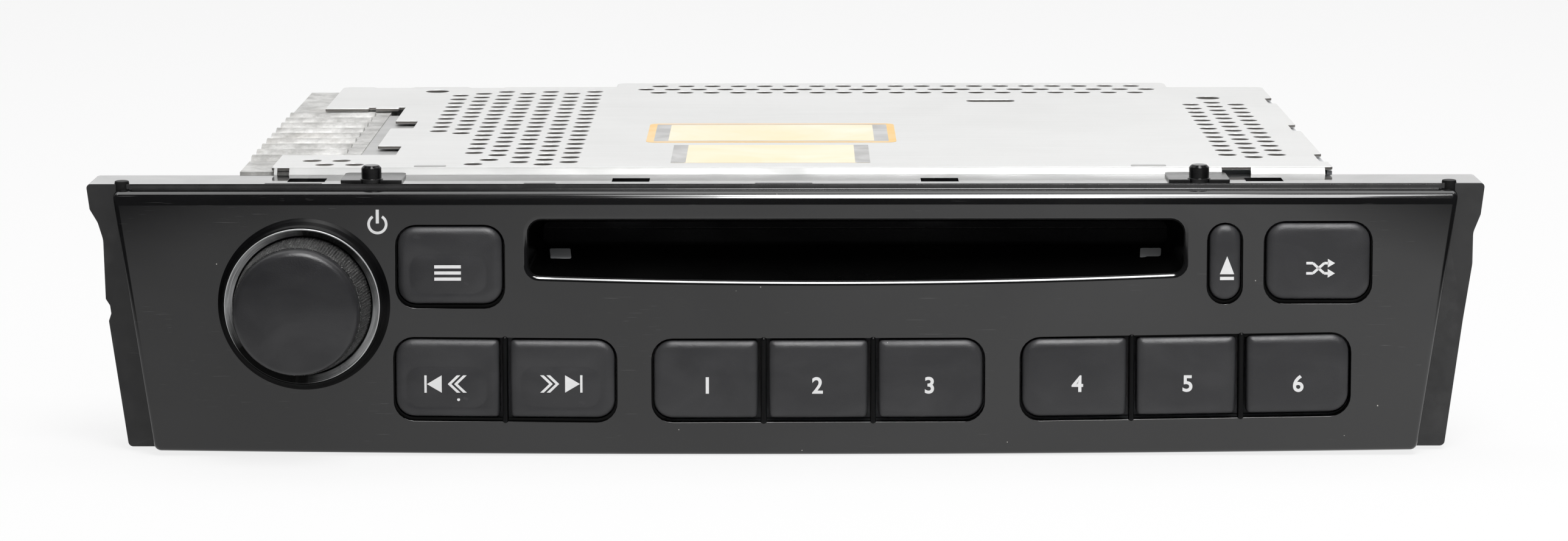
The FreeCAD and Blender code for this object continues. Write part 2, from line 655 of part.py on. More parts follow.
def top_cover():
    """The perforated steel lid with its bent front edge."""
    holes = [vent(x, y, VENT_RADIUS) for x, y in vent_places()]
    holes += [vent(-79.35, 67.6, 2.65), vent(94.5, 54.5, 2.65)]
    long_slot = [(40.2, 47.6, 1.6), (50.9, 47.6, 1.6), (50.9, 51.6, 1.6), (40.2, 51.6, 1.6)]
    holes.append(loop(long_slot, plan(CHASSIS_TOP)))
    face = Part.makeFace([cover_outline()] + holes, "Part::FaceMakerBullseye")
    sheet = face.extrude(ALONG_Z * SHEET)
    bend = [(-55.9, COVER_TOP, 0), (-57.0, FRAME_TOP, 0), (-57.0, 48.4, 0), (-56.0, 48.4, 0),
            (-56.0, 52.7, 0), (-55.5, CHASSIS_TOP, 0), (-55.2, COVER_TOP, 0)]
    skirt = slab(loop(bend, side(-101.6)), ALONG_X * (CHASSIS_RIGHT + 101.6))
    windows = [box(x0, x1, -58, -55.2, 49, 55) for x0, x1 in ((-101.0, -98.6), (86.7, 92.5), (107.2, 110))]
    return fuse(sheet, skirt.cut(windows))


def heat_sink():
    """The cast heat sink: two smooth ends, a wall and rounded fins between them."""
    wall = box(-91.0, CHASSIS_LEFT, CHASSIS_FRONT, SINK_BACK, 0, CHASSIS_TOP)
    ends = [box(SINK_LEFT, -91.0, CHASSIS_FRONT, FIN_FIRST_Y - 4.6, 0, CHASSIS_TOP),
            box(SINK_LEFT, -91.0, FIN_FIRST_Y + FIN_PITCH * (FIN_COUNT - 1) + 4.6, SINK_BACK, 0, CHASSIS_TOP)]
    hollows = [box(SINK_LEFT + 3, -93.0, CHASSIS_FRONT + 3, FIN_FIRST_Y - 7.6, -1, 40),
               box(SINK_LEFT + 3, -93.0, 40.0, SINK_BACK - 3, -1, 40)]
    collars = [rod(SINK_LEFT, y, SIDE_HOLE_Z, 4.5, 8.0, ALONG_X) for y in SIDE_HOLE_Y]
    taps = [rod(SINK_LEFT - 1, y, SIDE_HOLE_Z, SIDE_HOLE_RADIUS, 10.0, ALONG_X) for y in SIDE_HOLE_Y]
    fins = []
    half = FIN_THICK / 2
    for i in range(FIN_COUNT):
        y = FIN_FIRST_Y + FIN_PITCH * i
        profile = [(y - half, 0, 0), (y + half, 0, 0), (y + half, CHASSIS_TOP + 0.7, half - 0.1),
                   (y - half, CHASSIS_TOP + 0.7, half - 0.1)]
        fins.append(slab(loop(profile, side(SINK_LEFT)), ALONG_X * 18.6))
    web = box(-106.2, -91.0, FIN_FIRST_Y - 5, 36.5, 46.0, CHASSIS_TOP - 1.2)
    body = fuse(wall, *ends).cut(hollows)
    step = box(SINK_LEFT - 1, CHASSIS_LEFT + 1, CHASSIS_FRONT - 1, CHASSIS_FRONT + SHEET, 52.6, 54)
    return cut(fuse(body, web, *fins, *collars), step, *taps)


def cover_screws():
    """Pan-head screws on the chassis back."""
    profile = [(0, 1.8), (2.0, 1.8), (2.7, 1.2), (2.7, 0), (1.5, 0), (1.5, -4.0), (0, -4.0)]
    return group(turned(profile, Vector(x, CHASSIS_BACK, z), ALONG_Y) for x, z in COVER_SCREWS)


# Main board and what is fixed on it

def main_circuit_board():
    """The main board, slotted for the deck brackets."""
    board = box(-84, 104, -52, 70, BOARD_Z, BOARD_Z + 1.6)
    feet = [box(x - 0.5, x + 8.5, y - 0.5, y + BRACKET_LONG + 0.5, 0, 10) for x, y in bracket_places()]
    return cut(board, *feet)


def processor_chips():
    """The flat chips on the main board."""
    sizes = ((30, -40, 20), (0, 0, 14), (60, 20, 16), (-30, 30, 12))
    return group(box(x, x + a, y, y + a, BOARD_Z + 1.6, BOARD_Z + 3.4) for x, y, a in sizes)


def capacitors():
    """The upright capacitors of the power supply."""
    sizes = ((-76, -40, 6.3, 22), (-76, 24, 5.0, 18), (-76, 38, 5.0, 18), (-64, -44, 4.0, 12), (-64, 30, 4.0, 12))
    return group(rod(x, y, BOARD_Z + 1.6, r, h, ALONG_Z) for x, y, r, h in sizes)


def tuner_module():
    """The screened radio tuner."""
    can = box(56, 84, 44, 68, BOARD_Z + 1.6, 20.0)
    return cut(can, *[box(60 + 6 * i, 63 + 6 * i, 48, 64, 19.2, 21) for i in range(4)])


def amplifier_chip():
    """The power amplifier, flat against the heat sink."""
    body = box(CHASSIS_LEFT, CHASSIS_LEFT + 4.6, -20, 9, BOARD_Z + 6, BOARD_Z + 22)
    legs = [box(-85.0, -84.2, -18 + 3 * i, -17 + 3 * i, BOARD_Z - 1, BOARD_Z + 6) for i in range(9)]
    return fuse(body.cut(rod(-88, -5.5, BOARD_Z + 19, 1.6, 8, ALONG_X)), *legs)


def connector_chambers():
    """The two chambers of the rear connector."""
    return [box(-80, -46, 70, 83, z, z + 8.6) for z in (9.6, 19.8)]


def rear_connector():
    """The block that takes the power and loudspeaker plugs."""
    body = box(-82, -44, 66, 82, BOARD_Z + 1.6, 30.0)
    keys = [box(-66, -63, 69, 83, z + 8.0, z + 9.4) for z in (9.6, 19.8)]
    return cut(body, *connector_chambers(), *keys)


def connector_pins():
    """The blades in the rear connector."""
    pins = []
    for z in (9.6, 19.8):
        for i in range(4):
            x = -76 + 8.4 * i
            pins += [box(x, x + 1.6, 70, 75.5, z + lift, z + lift + 0.8) for lift in (1.9, 5.9)]
    return group(pins)


def aerial_socket():
    """The aerial socket with its stepped barrel."""
    profile = [(4.1, 74.0), (4.1, 86.0), (5.4, 86.0), (5.4, 76.4), (6.5, 76.4), (6.5, 66.0), (0, 66.0), (0, 74.0)]
    barrel = turned([(r, y - 66.0) for r, y in profile], Vector(97, 66, 20), ALONG_Y)
    return fuse(barrel, box(92, 102, 66, 72, BOARD_Z + 1.6, 20))


def rear_stud():
    """The support stud with its hexagonal shoulder."""
    stud = rod(DISC_X, 71.0, 14.0, 2.5, REAR_END - 71.0, ALONG_Y)
    points = [(4.6 * math.cos(math.radians(60 * i)), 4.6 * math.sin(math.radians(60 * i)), 0) for i in range(6)]
    shoulder = [(DISC_X + x, 14.0 + z, 0) for x, z, _ in points]
    hexagon = slab(loop(shoulder, front(CHASSIS_BACK)), ALONG_Y * 3.5)
    nut = slab(loop(shoulder, front(CHASSIS_BACK - SHEET - 2.2)), ALONG_Y * 2.2)
    return fuse(stud, hexagon, nut)


# Disc mechanism

def bracket_places():
    """Lower front left corners of the four bracket feet."""
    return [(x, y) for x in (-62.0, 91.0) for y in (-46.0, 50.0)]


def deck_brackets():
    """Four folded uprights that carry the deck."""
    brackets = []
    for x, y in bracket_places():
        inner = x + 8 if x < 0 else x + 1
        reach = (inner - 1, inner + 9) if x < 0 else (inner - 9, inner)
        wall = box(inner - 1, inner, y, y + BRACKET_LONG, SHEET, BRACKET_TOP)
        foot = box(x, x + 8, y, y + BRACKET_LONG, SHEET, SHEET + 1.2)
        shelf = box(*reach, y, y + BRACKET_LONG, BRACKET_TOP - 1, BRACKET_TOP)
        brackets.append(fuse(wall, foot, shelf))
    return group(brackets)


def damper_places():
    """Centres of the four rubber dampers."""
    return [(x, y + BRACKET_LONG / 2) for x in (-48.5, 86.5) for y in (-46.0, 50.0)]


def deck_dampers():
    """Waisted rubber dampers between the brackets and the deck."""
    profile = [(0, 0), (3.6, 0), (3.6, 1.4), (2.4, 2.2), (2.4, 3.8), (3.6, 4.6), (3.6, 6.0), (0, 6.0)]
    return group(turned(profile, Vector(x, y, BRACKET_TOP), ALONG_Z) for x, y in damper_places())


def ear(x0, x1):
    """An upturned ear of the deck that holds a roller bush."""
    profile = [(-49.0, DECK_FOOT, 0), (-36.0, DECK_FOOT, 0), (-36.0, 34.4, 0), (-40.2, 39.6, 1.0), (-47.8, 39.6, 1.0)]
    return slab(loop(profile, side(x0)), ALONG_X * (x1 - x0))


def deck_plate():
    """The pressed steel deck with its arms, ears, window and rod tabs."""
    corners = [(-53, -50, 2), (-46.8, -50, 1), (-46.8, -37, 1), (74.4, -37, 1), (74.4, -50, 1),
               (91, -50, 2), (91, 68, 3), (-53, 68, 3)]
    plate = slab(loop(corners, plan(DECK_FOOT)), ALONG_Z * DECK_THICK)
    ears = [ear(-48.8, -47.6), ear(75.4, 76.6)]
    tabs = [box(x, x + 1.6, y - 3, y + 3, ROD_Z - 3, DECK_FOOT + 0.5) for x in (24.2, 86.4) for y in ROD_Y]
    posts = [box(CLAMP_PIVOT_X - 2.4, CLAMP_PIVOT_X + 2.4, y, y + 1.2, DECK_FOOT, CLAMP_PIVOT_Z + 2.2)
             for y in (DISC_Y - 14.4, DISC_Y + 13.2)]
    body = fuse(plate, *ears, *tabs, *posts, gear_axle(), *screw_bearings())
    window = [(27, -1, 2), (86, -1, 2), (86, 40, 2), (27, 40, 2)]
    tools = [slab(loop(window, plan(DECK_FOOT - 1)), ALONG_Z * 4)]
    tools.append(rod(DISC_X, DISC_Y, DECK_FOOT - 1, 6.0, 4, ALONG_Z))
    tools += [rod(x0, ROLLER_Y, ROLLER_Z, 2.6, 3, ALONG_X) for x0 in (-49.5, 74.5)]
    tools += [rod(23, y, ROD_Z, ROD_RADIUS, 66, ALONG_X) for y in ROD_Y]
    tools.append(box(77.6, 82.4, -51, -14, DECK_FOOT - 1, DECK_FOOT + 3))
    tools.append(box(SLED_GEAR_X - 0.6, SLED_GEAR_X + 3.0, 38, 50, DECK_FOOT - 1, DECK_FOOT + 3))
    tools.append(rod(CLAMP_PIVOT_X, DISC_Y - 16, CLAMP_PIVOT_Z, 1.06, 32, ALONG_Y))
    return cut(body, *tools)


def roller_bushes():
    """The nylon bushes at the ends of the feed roller's shaft."""
    return group(tube(x, ROLLER_Y, ROLLER_Z, 2.6, 1.54, 2.0, ALONG_X) for x in (-49.2, 75.0))


def spindle_motor():
    """The flat motor under the turntable."""
    profile = [(0, 0), (11.0, 0), (11.0, 7.6), (5.8, 7.6), (5.8, 9.6), (1.04, 9.6), (1.04, 1.5), (0, 1.5)]
    return turned(profile, Vector(DISC_X, DISC_Y, DECK_FOOT - 7.6), ALONG_Z)


def turntable():
    """The turntable with its centring cone and spindle."""
    profile = [(0, -13.0), (1.0, -13.0), (1.0, -4.6), (13.0, -2.6), (14.0, -2.0), (14.0, 0), (7.4, 0),
               (7.2, 0.9), (5.4, 1.8), (0, 1.8)]
    return turned(profile, Vector(DISC_X, DISC_Y, DISC_UNDERSIDE), ALONG_Z)


def clamp_arm():
    """The sprung arm above the disc, pivoted at the left side of the deck."""
    arm = [(CLAMP_PIVOT_X - 1.5, DISC_Y - 13, 1), (DISC_X + 6, DISC_Y - 5, 4), (DISC_X + 6, DISC_Y + 5, 4),
           (CLAMP_PIVOT_X - 1.5, DISC_Y + 13, 1)]
    plate = slab(loop(arm, plan(ARM_FOOT)), ALONG_Z * 1.0)
    window = [(CLAMP_PIVOT_X + 6, DISC_Y - 6, 2), (DISC_X - 14, DISC_Y - 3.4, 2), (DISC_X - 14, DISC_Y + 3.4, 2),
              (CLAMP_PIVOT_X + 6, DISC_Y + 6, 2)]
    lugs = [box(CLAMP_PIVOT_X - 1.8, CLAMP_PIVOT_X + 1.8, y, y + 1.2, CLAMP_PIVOT_Z - 1.8, ARM_FOOT + 0.5)
            for y in (DISC_Y - 11.4, DISC_Y + 10.2)]
    pin = rod(CLAMP_PIVOT_X, DISC_Y - 15.6, CLAMP_PIVOT_Z, 1.0, 31.2, ALONG_Y)
    body = fuse(plate, *lugs, pin)
    return cut(body, slab(loop(window, plan(ARM_FOOT - 1)), ALONG_Z * 3), rod(DISC_X, DISC_Y, ARM_FOOT - 1, 2.1, 3, ALONG_Z))


def clamp_puck():
    """The free-turning puck that holds the disc down."""
    profile = [(0, 2.4), (7.9, 2.4), (7.9, 0), (12.5, 0), (13.0, 0.6), (12.5, 2.6), (9.0, 3.6), (2.0, 3.6),
               (2.0, 6.2), (3.4, 6.2), (3.4, 6.9), (0, 6.9)]
    return turned(profile, Vector(DISC_X, DISC_Y, PATH_TOP + 0.1), ALONG_Z)


def sled_body():
    """The pickup's carriage, bored for its rods."""
    x0 = SLED_START - SLED_HALF
    x1 = SLED_START + SLED_HALF
    outline = [(x0, -2.0, 2), (x1, -2.0, 2), (x1, 41.0, 1), (x0, 41.0, 1)]
    base = slab(loop(outline, plan(26.6)), ALONG_Z * 5.6)
    rack = box(SLED_START - 4, SLED_START + 4, 40.0, 46.6, 27.0, 32.0)
    turret = rod(SLED_START, DISC_Y, 31.0, 6.5, 5.6, ALONG_Z)
    body = fuse(base, rack, turret)
    bores = [rod(x0 - 1, y, ROD_Z, ROD_RADIUS + 0.05, 20, ALONG_X) for y in ROD_Y]
    bores.append(rod(x0 - 1, SCREW_Y, ROD_Z, 1.6, 20, ALONG_X))
    bores.append(rod(SLED_START, DISC_Y, 33.0, 4.0, 10, ALONG_Z))
    bores.append(box(x0 - 1, x1 + 1, 8.0, 11.0, 25, 28.6))
    return cut(body, *bores)


def pickup_lens():
    """The lens in the pickup's turret."""
    profile = [(0, 0), (4.0, 0), (4.0, 4.6), (2.6, 4.6), (2.2, 5.2), (1.2, 5.6), (0, 5.7)]
    return turned(profile, Vector(SLED_START, DISC_Y, 33.0), ALONG_Z)


def guide_rods():
    """The two steel rods that carry the pickup."""
    return group(rod(23.6, y, ROD_Z, ROD_RADIUS, 65.0, ALONG_X) for y in ROD_Y)


# Gears

def involute(angle):
    """The involute function."""
    return math.tan(angle) - angle


def gear(teeth, module, x, centre, width, tooth_angle):
    """A spur gear about the X direction, with one tooth centred on tooth_angle."""
    pitch = module * teeth / 2
    base = pitch * math.cos(PRESSURE_ANGLE)
    root = pitch - 1.25 * module
    tip = pitch + 0.95 * module

    def half_tooth(radius):
        held = max(radius, base * 1.0001)
        angle = math.acos(base / held)
        return math.pi / (2 * teeth) + involute(PRESSURE_ANGLE) - involute(angle) - BACKLASH / (2 * pitch)

    radii = (root, max(root, base) + 0.02, pitch, tip)
    points = []
    for i in range(teeth):
        middle = tooth_angle + 2 * math.pi * i / teeth
        rising = [(r, middle - half_tooth(r)) for r in radii]
        falling = [(r, middle + half_tooth(r)) for r in reversed(radii)]
        for radius, angle in rising + falling:
            points.append(Vector(x, centre[0] + radius * math.cos(angle), centre[1] + radius * math.sin(angle)))
    return Part.Face(Part.makePolygon(points + [points[0]])).extrude(ALONG_X * width)


def away(start, distance, angle):
    """A point at a distance and angle from another, in the Y and Z plane."""
    return (start[0] + distance * math.cos(angle), start[1] + distance * math.sin(angle))


def meshed_angle(driver_angle, driver_teeth, teeth, direction):
    """Angle of one tooth of a gear that meshes with a driver along a direction from the driver."""
    step = 2 * math.pi / driver_teeth
    offset = (driver_angle - direction) % step
    return direction + math.pi - offset * driver_teeth / teeth + math.pi / teeth


ROLLER_AXIS = (ROLLER_Y, ROLLER_Z)
TO_IDLER = math.radians(-22.0)
TO_LOAD_PINION = math.radians(-30.0)
IDLER_AXIS = away(ROLLER_AXIS, LOAD_MODULE * (ROLLER_TEETH + IDLER_TEETH) / 2, TO_IDLER)
LOAD_PINION_AXIS = away(IDLER_AXIS, LOAD_MODULE * (IDLER_TEETH + LOAD_PINION_TEETH) / 2, TO_LOAD_PINION)
ROLLER_TOOTH = TO_IDLER
IDLER_TOOTH = meshed_angle(ROLLER_TOOTH, ROLLER_TEETH, IDLER_TEETH, TO_IDLER)
LOAD_PINION_TOOTH = meshed_angle(IDLER_TOOTH, IDLER_TEETH, LOAD_PINION_TEETH, TO_LOAD_PINION)
LOAD_GEAR_X = 78.4
SCREW_AXIS = (SCREW_Y, ROD_Z)
TO_SLED_PINION = math.radians(-20.0)
SLED_PINION_AXIS = away(SCREW_AXIS, SLED_MODULE * (SCREW_TEETH + SLED_PINION_TEETH) / 2, TO_SLED_PINION)
SLED_PINION_TOOTH = meshed_angle(TO_SLED_PINION, SCREW_TEETH, SLED_PINION_TEETH, TO_SLED_PINION)
SLED_GEAR_X = 18.4


def feed_roller():
    """The rubber feed roller, slimmer in the middle so that it centres the disc."""
    slim = ROLLER_RADIUS - 0.8
    profile = [(1.5, 0), (ROLLER_RADIUS, 0), (ROLLER_RADIUS, 6), (slim, 56), (slim, 60), (ROLLER_RADIUS, 110),
               (ROLLER_RADIUS, 116), (1.5, 116)]
    return turned(profile, Vector(DISC_X - 58, ROLLER_Y, ROLLER_Z), ALONG_X)


def roller_shaft():
    """The roller's steel shaft with its gear."""
    shaft = rod(-50.4, ROLLER_Y, ROLLER_Z, 1.5, LOAD_GEAR_X + 3.4 + 50.4, ALONG_X)
    wheel = gear(ROLLER_TEETH, LOAD_MODULE, LOAD_GEAR_X, ROLLER_AXIS, 3.0, ROLLER_TOOTH)
    return fuse(wheel, shaft)


def loading_gear():
    """The idler between the motor and the roller."""
    wheel = gear(IDLER_TEETH, LOAD_MODULE, LOAD_GEAR_X, IDLER_AXIS, 3.0, IDLER_TOOTH)
    bore = rod(LOAD_GEAR_X - 1, IDLER_AXIS[0], IDLER_AXIS[1], 1.55, 6, ALONG_X)
    pockets = []
    for i in range(4):
        y, z = away(IDLER_AXIS, 4.4, math.radians(45 + 90 * i))
        pockets.append(rod(LOAD_GEAR_X - 1, y, z, 1.5, 6, ALONG_X))
    return cut(wheel, bore, *pockets)


def gear_axle():
    """The idler's fixed axle in its own tab of the deck."""
    y, z = IDLER_AXIS
    axle = rod(77.6, y, z, 1.5, 5.6, ALONG_X)
    return fuse(axle, box(82.6, 83.8, y - 4, y + 4, z - 4, DECK_FOOT + 0.5))


def loading_pinion():
    """The pinion on the loading motor's shaft."""
    y, z = LOAD_PINION_AXIS
    wheel = gear(LOAD_PINION_TEETH, LOAD_MODULE, LOAD_GEAR_X, LOAD_PINION_AXIS, 3.0, LOAD_PINION_TOOTH)
    return fuse(wheel, rod(72.0, y, z, 1.0, LOAD_GEAR_X - 71.0, ALONG_X))


def loading_motor():
    """The loading motor below the deck."""
    y, z = LOAD_PINION_AXIS
    can = rod(50.0, y, z, 7.6, 23.0, ALONG_X)
    flats = [box(49, 74, y - 9, y + 9, z + s * 6.0 - (4 if s < 0 else 0), z + s * 6.0 + (4 if s > 0 else 0))
             for s in (-1, 1)]
    nose = rod(73.0, y, z, 3.0, 1.6, ALONG_X)
    tail = rod(48.4, y, z, 2.6, 1.6, ALONG_X)
    return cut(fuse(cut(can, *flats), nose, tail), rod(71.5, y, z, 1.05, 5, ALONG_X))


def lead_screw():
    """The lead screw with its gear."""
    shaft = rod(SLED_GEAR_X - 0.6, SCREW_Y, ROD_Z, 1.5, 67.0, ALONG_X)
    wheel = gear(SCREW_TEETH, SLED_MODULE, SLED_GEAR_X, SCREW_AXIS, 2.4, TO_SLED_PINION)
    return fuse(wheel, shaft)


def screw_bearings():
    """The two tabs of the deck that carry the lead screw."""
    return [box(x, x + 1.6, SCREW_Y - 3, SCREW_Y + 3, ROD_Z - 3, DECK_FOOT + 0.5).cut(
        rod(x - 1, SCREW_Y, ROD_Z, 1.54, 5, ALONG_X)) for x in (21.6, 82.2)]


def sled_pinion():
    """The pinion on the sled motor's shaft."""
    y, z = SLED_PINION_AXIS
    wheel = gear(SLED_PINION_TEETH, SLED_MODULE, SLED_GEAR_X, SLED_PINION_AXIS, 2.4, SLED_PINION_TOOTH)
    return fuse(wheel, rod(13.0, y, z, 0.8, SLED_GEAR_X - 12.0, ALONG_X))


def sled_motor():
    """The small motor that drives the lead screw."""
    y, z = SLED_PINION_AXIS
    can = rod(-4.0, y, z, 5.6, 18.0, ALONG_X)
    nose = rod(14.0, y, z, 2.2, 1.4, ALONG_X)
    return cut(fuse(can, nose), rod(12.5, y, z, 0.85, 5, ALONG_X))


def disc_guide():
    """The ribbed plastic guide above the disc's way in."""
    plate = box(-53, 86, -54.4, -36, 46.2, 47.6)
    ribs = [box(x, x + 2, -54.4, -36, PATH_TOP, 46.3) for x in (-50, -36, -20, 46, 62, 76)]
    ends = [box(x0, x1, -46, -36, DECK_FOOT + DECK_THICK, 46.4) for x0, x1 in ((-53, -51), (84, 86))]
    return fuse(plate, *ribs, *ends)


BUILDERS = {
    "front_panel": front_panel, "trim_frame": trim_frame,
    "left_locating_clip": lambda: locating_clip(-81.2), "right_locating_clip": lambda: locating_clip(81.2),
    "panel_screws": panel_screws, "knob_ring": knob_ring, "volume_knob": volume_knob, "knob_cap": knob_cap,
    "switch_plunger": switch_plunger, "encoder_shaft": encoder_shaft, "volume_encoder": volume_encoder,
    "rubber_keypad": rubber_keypad, "front_circuit_board": front_circuit_board, "board_screws": board_screws,
    "board_connector": board_connector, "slot_felts": slot_felts, "lower_chassis": lower_chassis,
    "top_cover": top_cover, "heat_sink": heat_sink, "cover_screws": cover_screws,
    "main_circuit_board": main_circuit_board, "processor_chips": processor_chips, "capacitors": capacitors,
    "tuner_module": tuner_module, "amplifier_chip": amplifier_chip,
    "rear_connector": rear_connector, "connector_pins": connector_pins, "aerial_socket": aerial_socket,
    "rear_stud": rear_stud, "deck_brackets": deck_brackets, "deck_dampers": deck_dampers,
    "deck_plate": deck_plate, "roller_bushes": roller_bushes, "spindle_motor": spindle_motor,
    "turntable": turntable, "clamp_arm": clamp_arm, "clamp_puck": clamp_puck, "pickup_sled": sled_body,
    "pickup_lens": pickup_lens, "guide_rods": guide_rods, "feed_roller": feed_roller,
    "roller_shaft": roller_shaft, "loading_gear": loading_gear,
    "loading_pinion": loading_pinion, "loading_motor": loading_motor, "lead_screw": lead_screw,
    "sled_pinion": sled_pinion, "sled_motor": sled_motor, "disc_guide": disc_guide,
}


def main():
    """Writes one file for each piece."""
    os.makedirs("parts", exist_ok=True)
    for name, (rect, radii) in key_list().items():
        key_cap(rect, radii).exportStep(f"parts/{name}.step")
    for name, build in BUILDERS.items():
        build().exportStep(f"parts/{name}.step")


main()
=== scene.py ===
"""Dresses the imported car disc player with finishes, rounded mouldings, marks and stickers.

Sizes in the fields are millimetres in the part's own frame. Meshes are made in metres.
The front panel leans back, so its pieces are drawn in the panel's own frame, where x runs
to the right, y goes into the panel and z goes up, and are then leaned into place.
"""

import logging
import math
from collections.abc import Callable, Iterable, Iterator, Sequence
from contextlib import contextmanager
from dataclasses import dataclass, field
from enum import Enum

import bpy
from mathutils import Matrix, Vector


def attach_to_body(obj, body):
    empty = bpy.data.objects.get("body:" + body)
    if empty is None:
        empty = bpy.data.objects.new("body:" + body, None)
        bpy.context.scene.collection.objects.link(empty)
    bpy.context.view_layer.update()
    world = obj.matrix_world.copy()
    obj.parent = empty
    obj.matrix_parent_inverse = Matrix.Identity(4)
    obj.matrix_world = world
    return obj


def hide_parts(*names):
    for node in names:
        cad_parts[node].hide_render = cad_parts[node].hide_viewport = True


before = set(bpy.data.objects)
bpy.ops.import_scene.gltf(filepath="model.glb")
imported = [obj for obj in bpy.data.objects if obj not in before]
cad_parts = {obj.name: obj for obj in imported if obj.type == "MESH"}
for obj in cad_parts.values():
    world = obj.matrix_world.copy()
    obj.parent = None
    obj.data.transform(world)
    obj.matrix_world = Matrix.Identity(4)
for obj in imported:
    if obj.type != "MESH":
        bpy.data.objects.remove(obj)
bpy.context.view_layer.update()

LOG = logging.getLogger("disc_player")
MM = 0.001
LEAN = math.radians(3.0)
FOOT_Y = -72.1 - 53.0 * math.tan(LEAN)
DISC_X = 13.85
COVER_TOP = 54.4
KNOB = (-94.2, 29.9)
MODE_KEY = (-75.7, -55.4, 30.0, 45.1)
MIX_KEY = (94.1, 114.2, 30.8, 45.7)
EJECT_KEY = (83.0, 88.9, 30.7, 45.4)
LOWER_ROW = (7.4, 22.65)
LOWER_ROW_LIMIT = 26.0
ROW_RISE = 0.00009
ROW_RISE_X = -8.0
BOW_STEPS = 24
DOUBLES = 0.002

# Placements of a piece drawn in millimetres: upright, and in the leaned panel frame
TO_METRES = Matrix.Scale(MM, 4)
TO_PANEL = TO_METRES @ (Matrix.Translation((0.0, FOOT_Y, 0.0)) @ Matrix.Rotation(-LEAN, 4, "X"))

Point = tuple[float, float]
Corner = tuple[float, float, float]
Edges = tuple[float, float, float, float]
Piece = bpy.types.Object
Node = bpy.types.Node
Socket = bpy.types.NodeSocket


# Modelling

class Plane(Enum):
    """The plane that a flat outline is drawn in."""

    PANEL = "panel"
    PLAN = "plan"
    SIDE = "side"


def deselect() -> None:
    """Clears the selection, because loading leaves the CAD nodes selected."""
    for item in bpy.context.selected_objects:
        item.select_set(False)


def choose(*pieces: Piece) -> None:
    """Selects only these pieces and makes the first one active."""
    deselect()
    for piece in pieces:
        piece.select_set(True)
    bpy.context.view_layer.objects.active = pieces[0]


def place(piece: Piece, matrix: Matrix) -> Piece:
    """Moves a piece's vertices, so that its object stays at the origin.

    Args:
        piece: The piece to move.
        matrix: The move, turn and scale.

    Returns:
        The same piece.
    """
    piece.data.transform(matrix)
    piece.data.update()
    return piece


def modify(piece: Piece, kind: str, **values: object) -> Piece:
    """Adds one modifier, sets its values and applies it.

    Args:
        piece: The piece to modify.
        kind: The modifier's type.
        **values: The modifier's settings.

    Returns:
        The same piece.
    """
    choose(piece)
    bpy.ops.object.modifier_add(type=kind)
    modifier = piece.modifiers[-1]
    for key, value in values.items():
        setattr(modifier, key, value)
    bpy.ops.object.modifier_apply(modifier=modifier.name)
    return piece


@contextmanager
def editing(piece: Piece) -> Iterator[None]:
    """Opens a piece in edit mode with all of it selected, and closes it again."""
    choose(piece)
    bpy.ops.object.mode_set(mode="EDIT")
    bpy.ops.mesh.select_all(action="SELECT")
    yield
    bpy.ops.object.mode_set(mode="OBJECT")


def smooth(piece: Piece, degrees: float = 38.0) -> Piece:
    """Shades a piece smooth up to an angle, with flat faces kept flat.

    Args:
        piece: The piece.
        degrees: The angle from which an edge stays sharp.

    Returns:
        The same piece.
    """
    choose(piece)
    bpy.ops.object.shade_smooth_by_angle(angle=math.radians(degrees))
    return modify(piece, "WEIGHTED_NORMAL", mode="CORNER_ANGLE", weight=50, keep_sharp=True,
                  use_face_influence=True)


def weigh(piece: Piece, strength: str, chosen: Callable[[bpy.types.MeshPolygon], bool]) -> Piece:
    """Sets how much some faces count in the shading of the edges that they share.

    Args:
        piece: The piece.
        strength: WEAK, MEDIUM or STRONG; only the strongest faces at a corner count.
        chosen: Tells whether a face is one of them.

    Returns:
        The same piece.
    """
    choose(piece)
    for polygon in piece.data.polygons:
        polygon.select = chosen(polygon)
    bpy.ops.object.mode_set(mode="EDIT")
    bpy.ops.mesh.select_mode(type="FACE")
    bpy.ops.mesh.mod_weighted_strength(set=True, face_strength=strength)
    bpy.ops.mesh.select_mode(type="VERT")
    bpy.ops.object.mode_set(mode="OBJECT")
    return piece


def join(name: str, pieces: Sequence[Piece]) -> Piece:
    """Joins several pieces of one moulding under one name.

    Args:
        name: The name of the whole.
        pieces: The pieces.

    Returns:
        The joined piece.
    """
    choose(*pieces)
    if len(pieces) > 1:
        bpy.ops.object.join()
    joined = bpy.context.view_layer.objects.active
    joined.name = name
    joined.data.name = name
    return joined


def rounded(corners: Iterable[Corner], steps: int = 6) -> list[Point]:
    """Rounds the corners of an outline.

    Args:
        corners: Each corner's two coordinates and radius.
        steps: How many chords each rounding has.

    Returns:
        The outline's points in order.
    """
    listed = list(corners)
    points: list[Point] = []
    for index, (a, b, radius) in enumerate(listed):
        here = Vector((a, b))
        before = (Vector(listed[index - 1][:2]) - here).normalized()
        after = (Vector(listed[(index + 1) % len(listed)][:2]) - here).normalized()
        if radius <= 0:
            points.append((a, b))
            continue
        half = before.angle(after) / 2
        centre = here + (before + after).normalized() * (radius / math.sin(half))
        start = here + before * (radius / math.tan(half)) - centre
        end = here + after * (radius / math.tan(half)) - centre
        first = math.atan2(start.y, start.x)
        turn = (math.atan2(end.y, end.x) - first + math.pi) % (2 * math.pi) - math.pi
        for step in range(steps + 1):
            angle = first + turn * step / steps
            points.append((centre.x + radius * math.cos(angle), centre.y + radius * math.sin(angle)))
    return points


def rectangle(x0: float, x1: float, z0: float, z1: float, radius: float, steps: int = 6) -> list[Point]:
    """Returns a rectangle with rounded corners."""
    return rounded([(x0, z0, radius), (x1, z0, radius), (x1, z1, radius), (x0, z1, radius)], steps)


